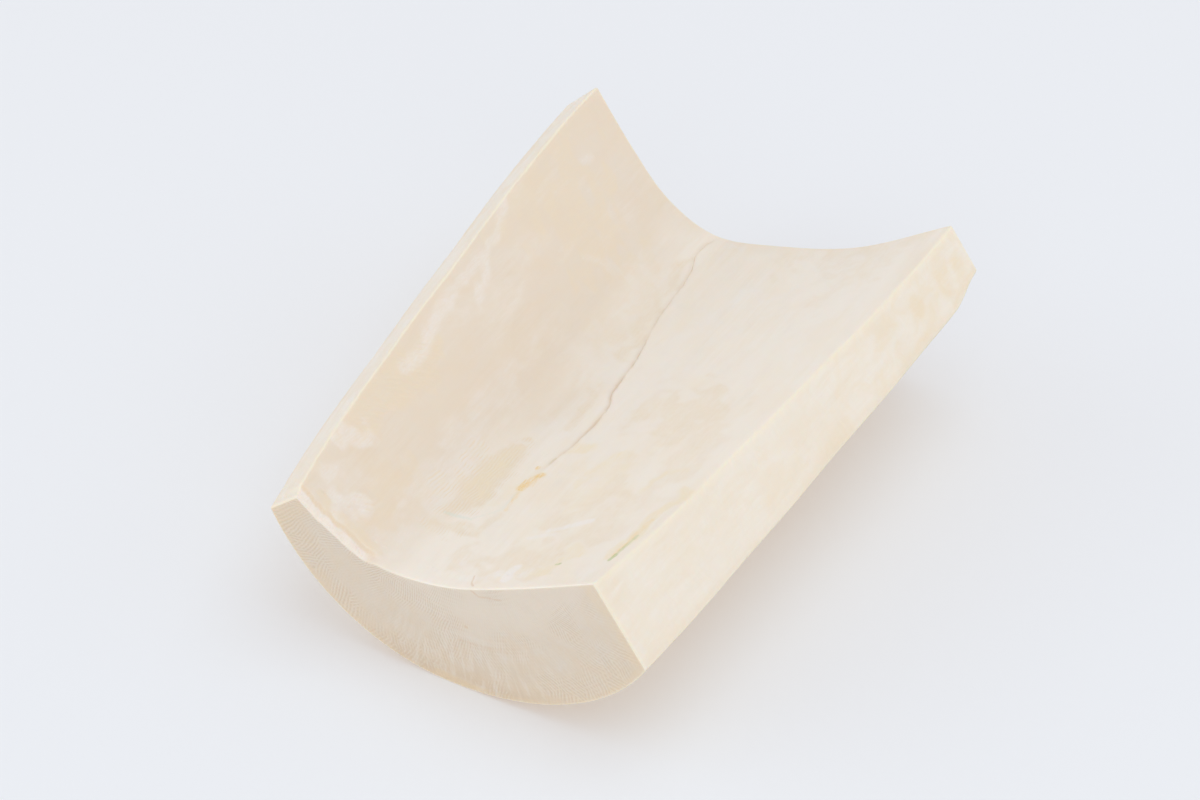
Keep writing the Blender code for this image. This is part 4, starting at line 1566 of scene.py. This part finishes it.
def add_surroundings(studio):
    """Adds the light from all round, which the camera sees at a strength of its own."""
    world = bpy.data.worlds.new("Pale surroundings")
    world.use_nodes = True
    background = world.node_tree.nodes["Background"]
    background.inputs["Color"].default_value = studio.sky
    sheet = NodeSheet(world.node_tree)
    seen = sheet.out("Is Camera Ray", "ShaderNodeLightPath")
    lift = studio.sky_seen - studio.sky_strength
    strength = sheet.math("MULTIPLY_ADD", seen, lift, studio.sky_strength)
    sheet.feed(background.inputs["Strength"], strength)
    bpy.context.scene.world = world


def add_softbox(name, place, wide, high, power):
    """Adds a rectangular light that faces the piece and isn't seen itself."""
    light = bpy.data.lights.new(name, "AREA")
    light.shape = "RECTANGLE"
    light.size, light.size_y = wide, high
    light.energy = power
    softbox = bpy.data.objects.new(name, light)
    softbox.location = place
    softbox.rotation_euler = (-Vector(place)).to_track_quat("-Z", "Y").to_euler()
    softbox.visible_camera = False
    bpy.context.scene.collection.objects.link(softbox)


def add_camera():
    data = bpy.data.cameras.new("Camera")
    data.lens = LENS
    data.sensor_width = SENSOR
    camera = bpy.data.objects.new("Camera", data)
    camera.location = CAMERA_PLACE
    look = Vector(CAMERA_AIM) - Vector(CAMERA_PLACE)
    camera.rotation_euler = look.to_track_quat("-Z", "Y").to_euler()
    bpy.context.scene.collection.objects.link(camera)
    bpy.context.scene.camera = camera


class MAMMOTH_OT_add_ivory(bpy.types.Operator):
    """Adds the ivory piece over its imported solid"""

    bl_idname = "mammoth.add_ivory"
    bl_label = "Ivory piece"

    def execute(self, context):
        sizes, colours = context.scene.mammoth_sizes, context.scene.mammoth_colours
        mesh = IvoryMesh(IvoryShape(sizes)).to_mesh("mammoth_ivory_wall")
        piece = bpy.data.objects.new("mammoth_ivory_wall", mesh)
        context.scene.collection.objects.link(piece)
        make_shader_groups()
        makers = (hollow_material, sawn_side_material, sawn_end_material, bark_material)
        materials = {label: make(colours) for label, make in zip(FINISHES, makers)}
        give_relief(piece, sizes, materials)
        piece.data.shade_smooth()
        piece.data.set_sharp_from_angle(angle=SHARP_ANGLE)
        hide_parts("ivory_piece")
        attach(piece, "root")
        return {"FINISHED"}


class MAMMOTH_PT_panel(bpy.types.Panel):
    """Lists what can be made, with its sizes and colours"""

    bl_label = "Mammoth ivory"
    bl_idname = "MAMMOTH_PT_panel"
    bl_space_type = "VIEW_3D"
    bl_region_type = "UI"
    bl_category = "Ivory"

    def draw(self, context):
        scene = context.scene
        for operator in (MAMMOTH_OT_add_stage, MAMMOTH_OT_add_ivory):
            self.layout.operator(operator.bl_idname)
        for settings in (scene.mammoth_sizes, scene.mammoth_colours, scene.mammoth_studio):
            box = self.layout.box()
            for name in settings.bl_rna.properties.keys():
                if name not in ("rna_type", "name"):
                    box.prop(settings, name)


CLASSES = (
    IvorySizes,
    IvoryColours,
    StudioSettings,
    MAMMOTH_OT_add_stage,
    MAMMOTH_OT_add_ivory,
    MAMMOTH_PT_panel,
)
SETTINGS = {"mammoth_sizes": IvorySizes, "mammoth_colours": IvoryColours, "mammoth_studio": StudioSettings}


def register():
    for cls in CLASSES:
        bpy.utils.register_class(cls)
    for name, cls in SETTINGS.items():
        setattr(bpy.types.Scene, name, bpy.props.PointerProperty(type=cls))


def unregister():
    for name in SETTINGS:
        delattr(bpy.types.Scene, name)
    for cls in reversed(CLASSES):
        bpy.utils.unregister_class(cls)


def main():
    register()
    bpy.ops.mammoth.add_stage()
    bpy.ops.mammoth.add_ivory()


if __name__ == "__main__":
    main()
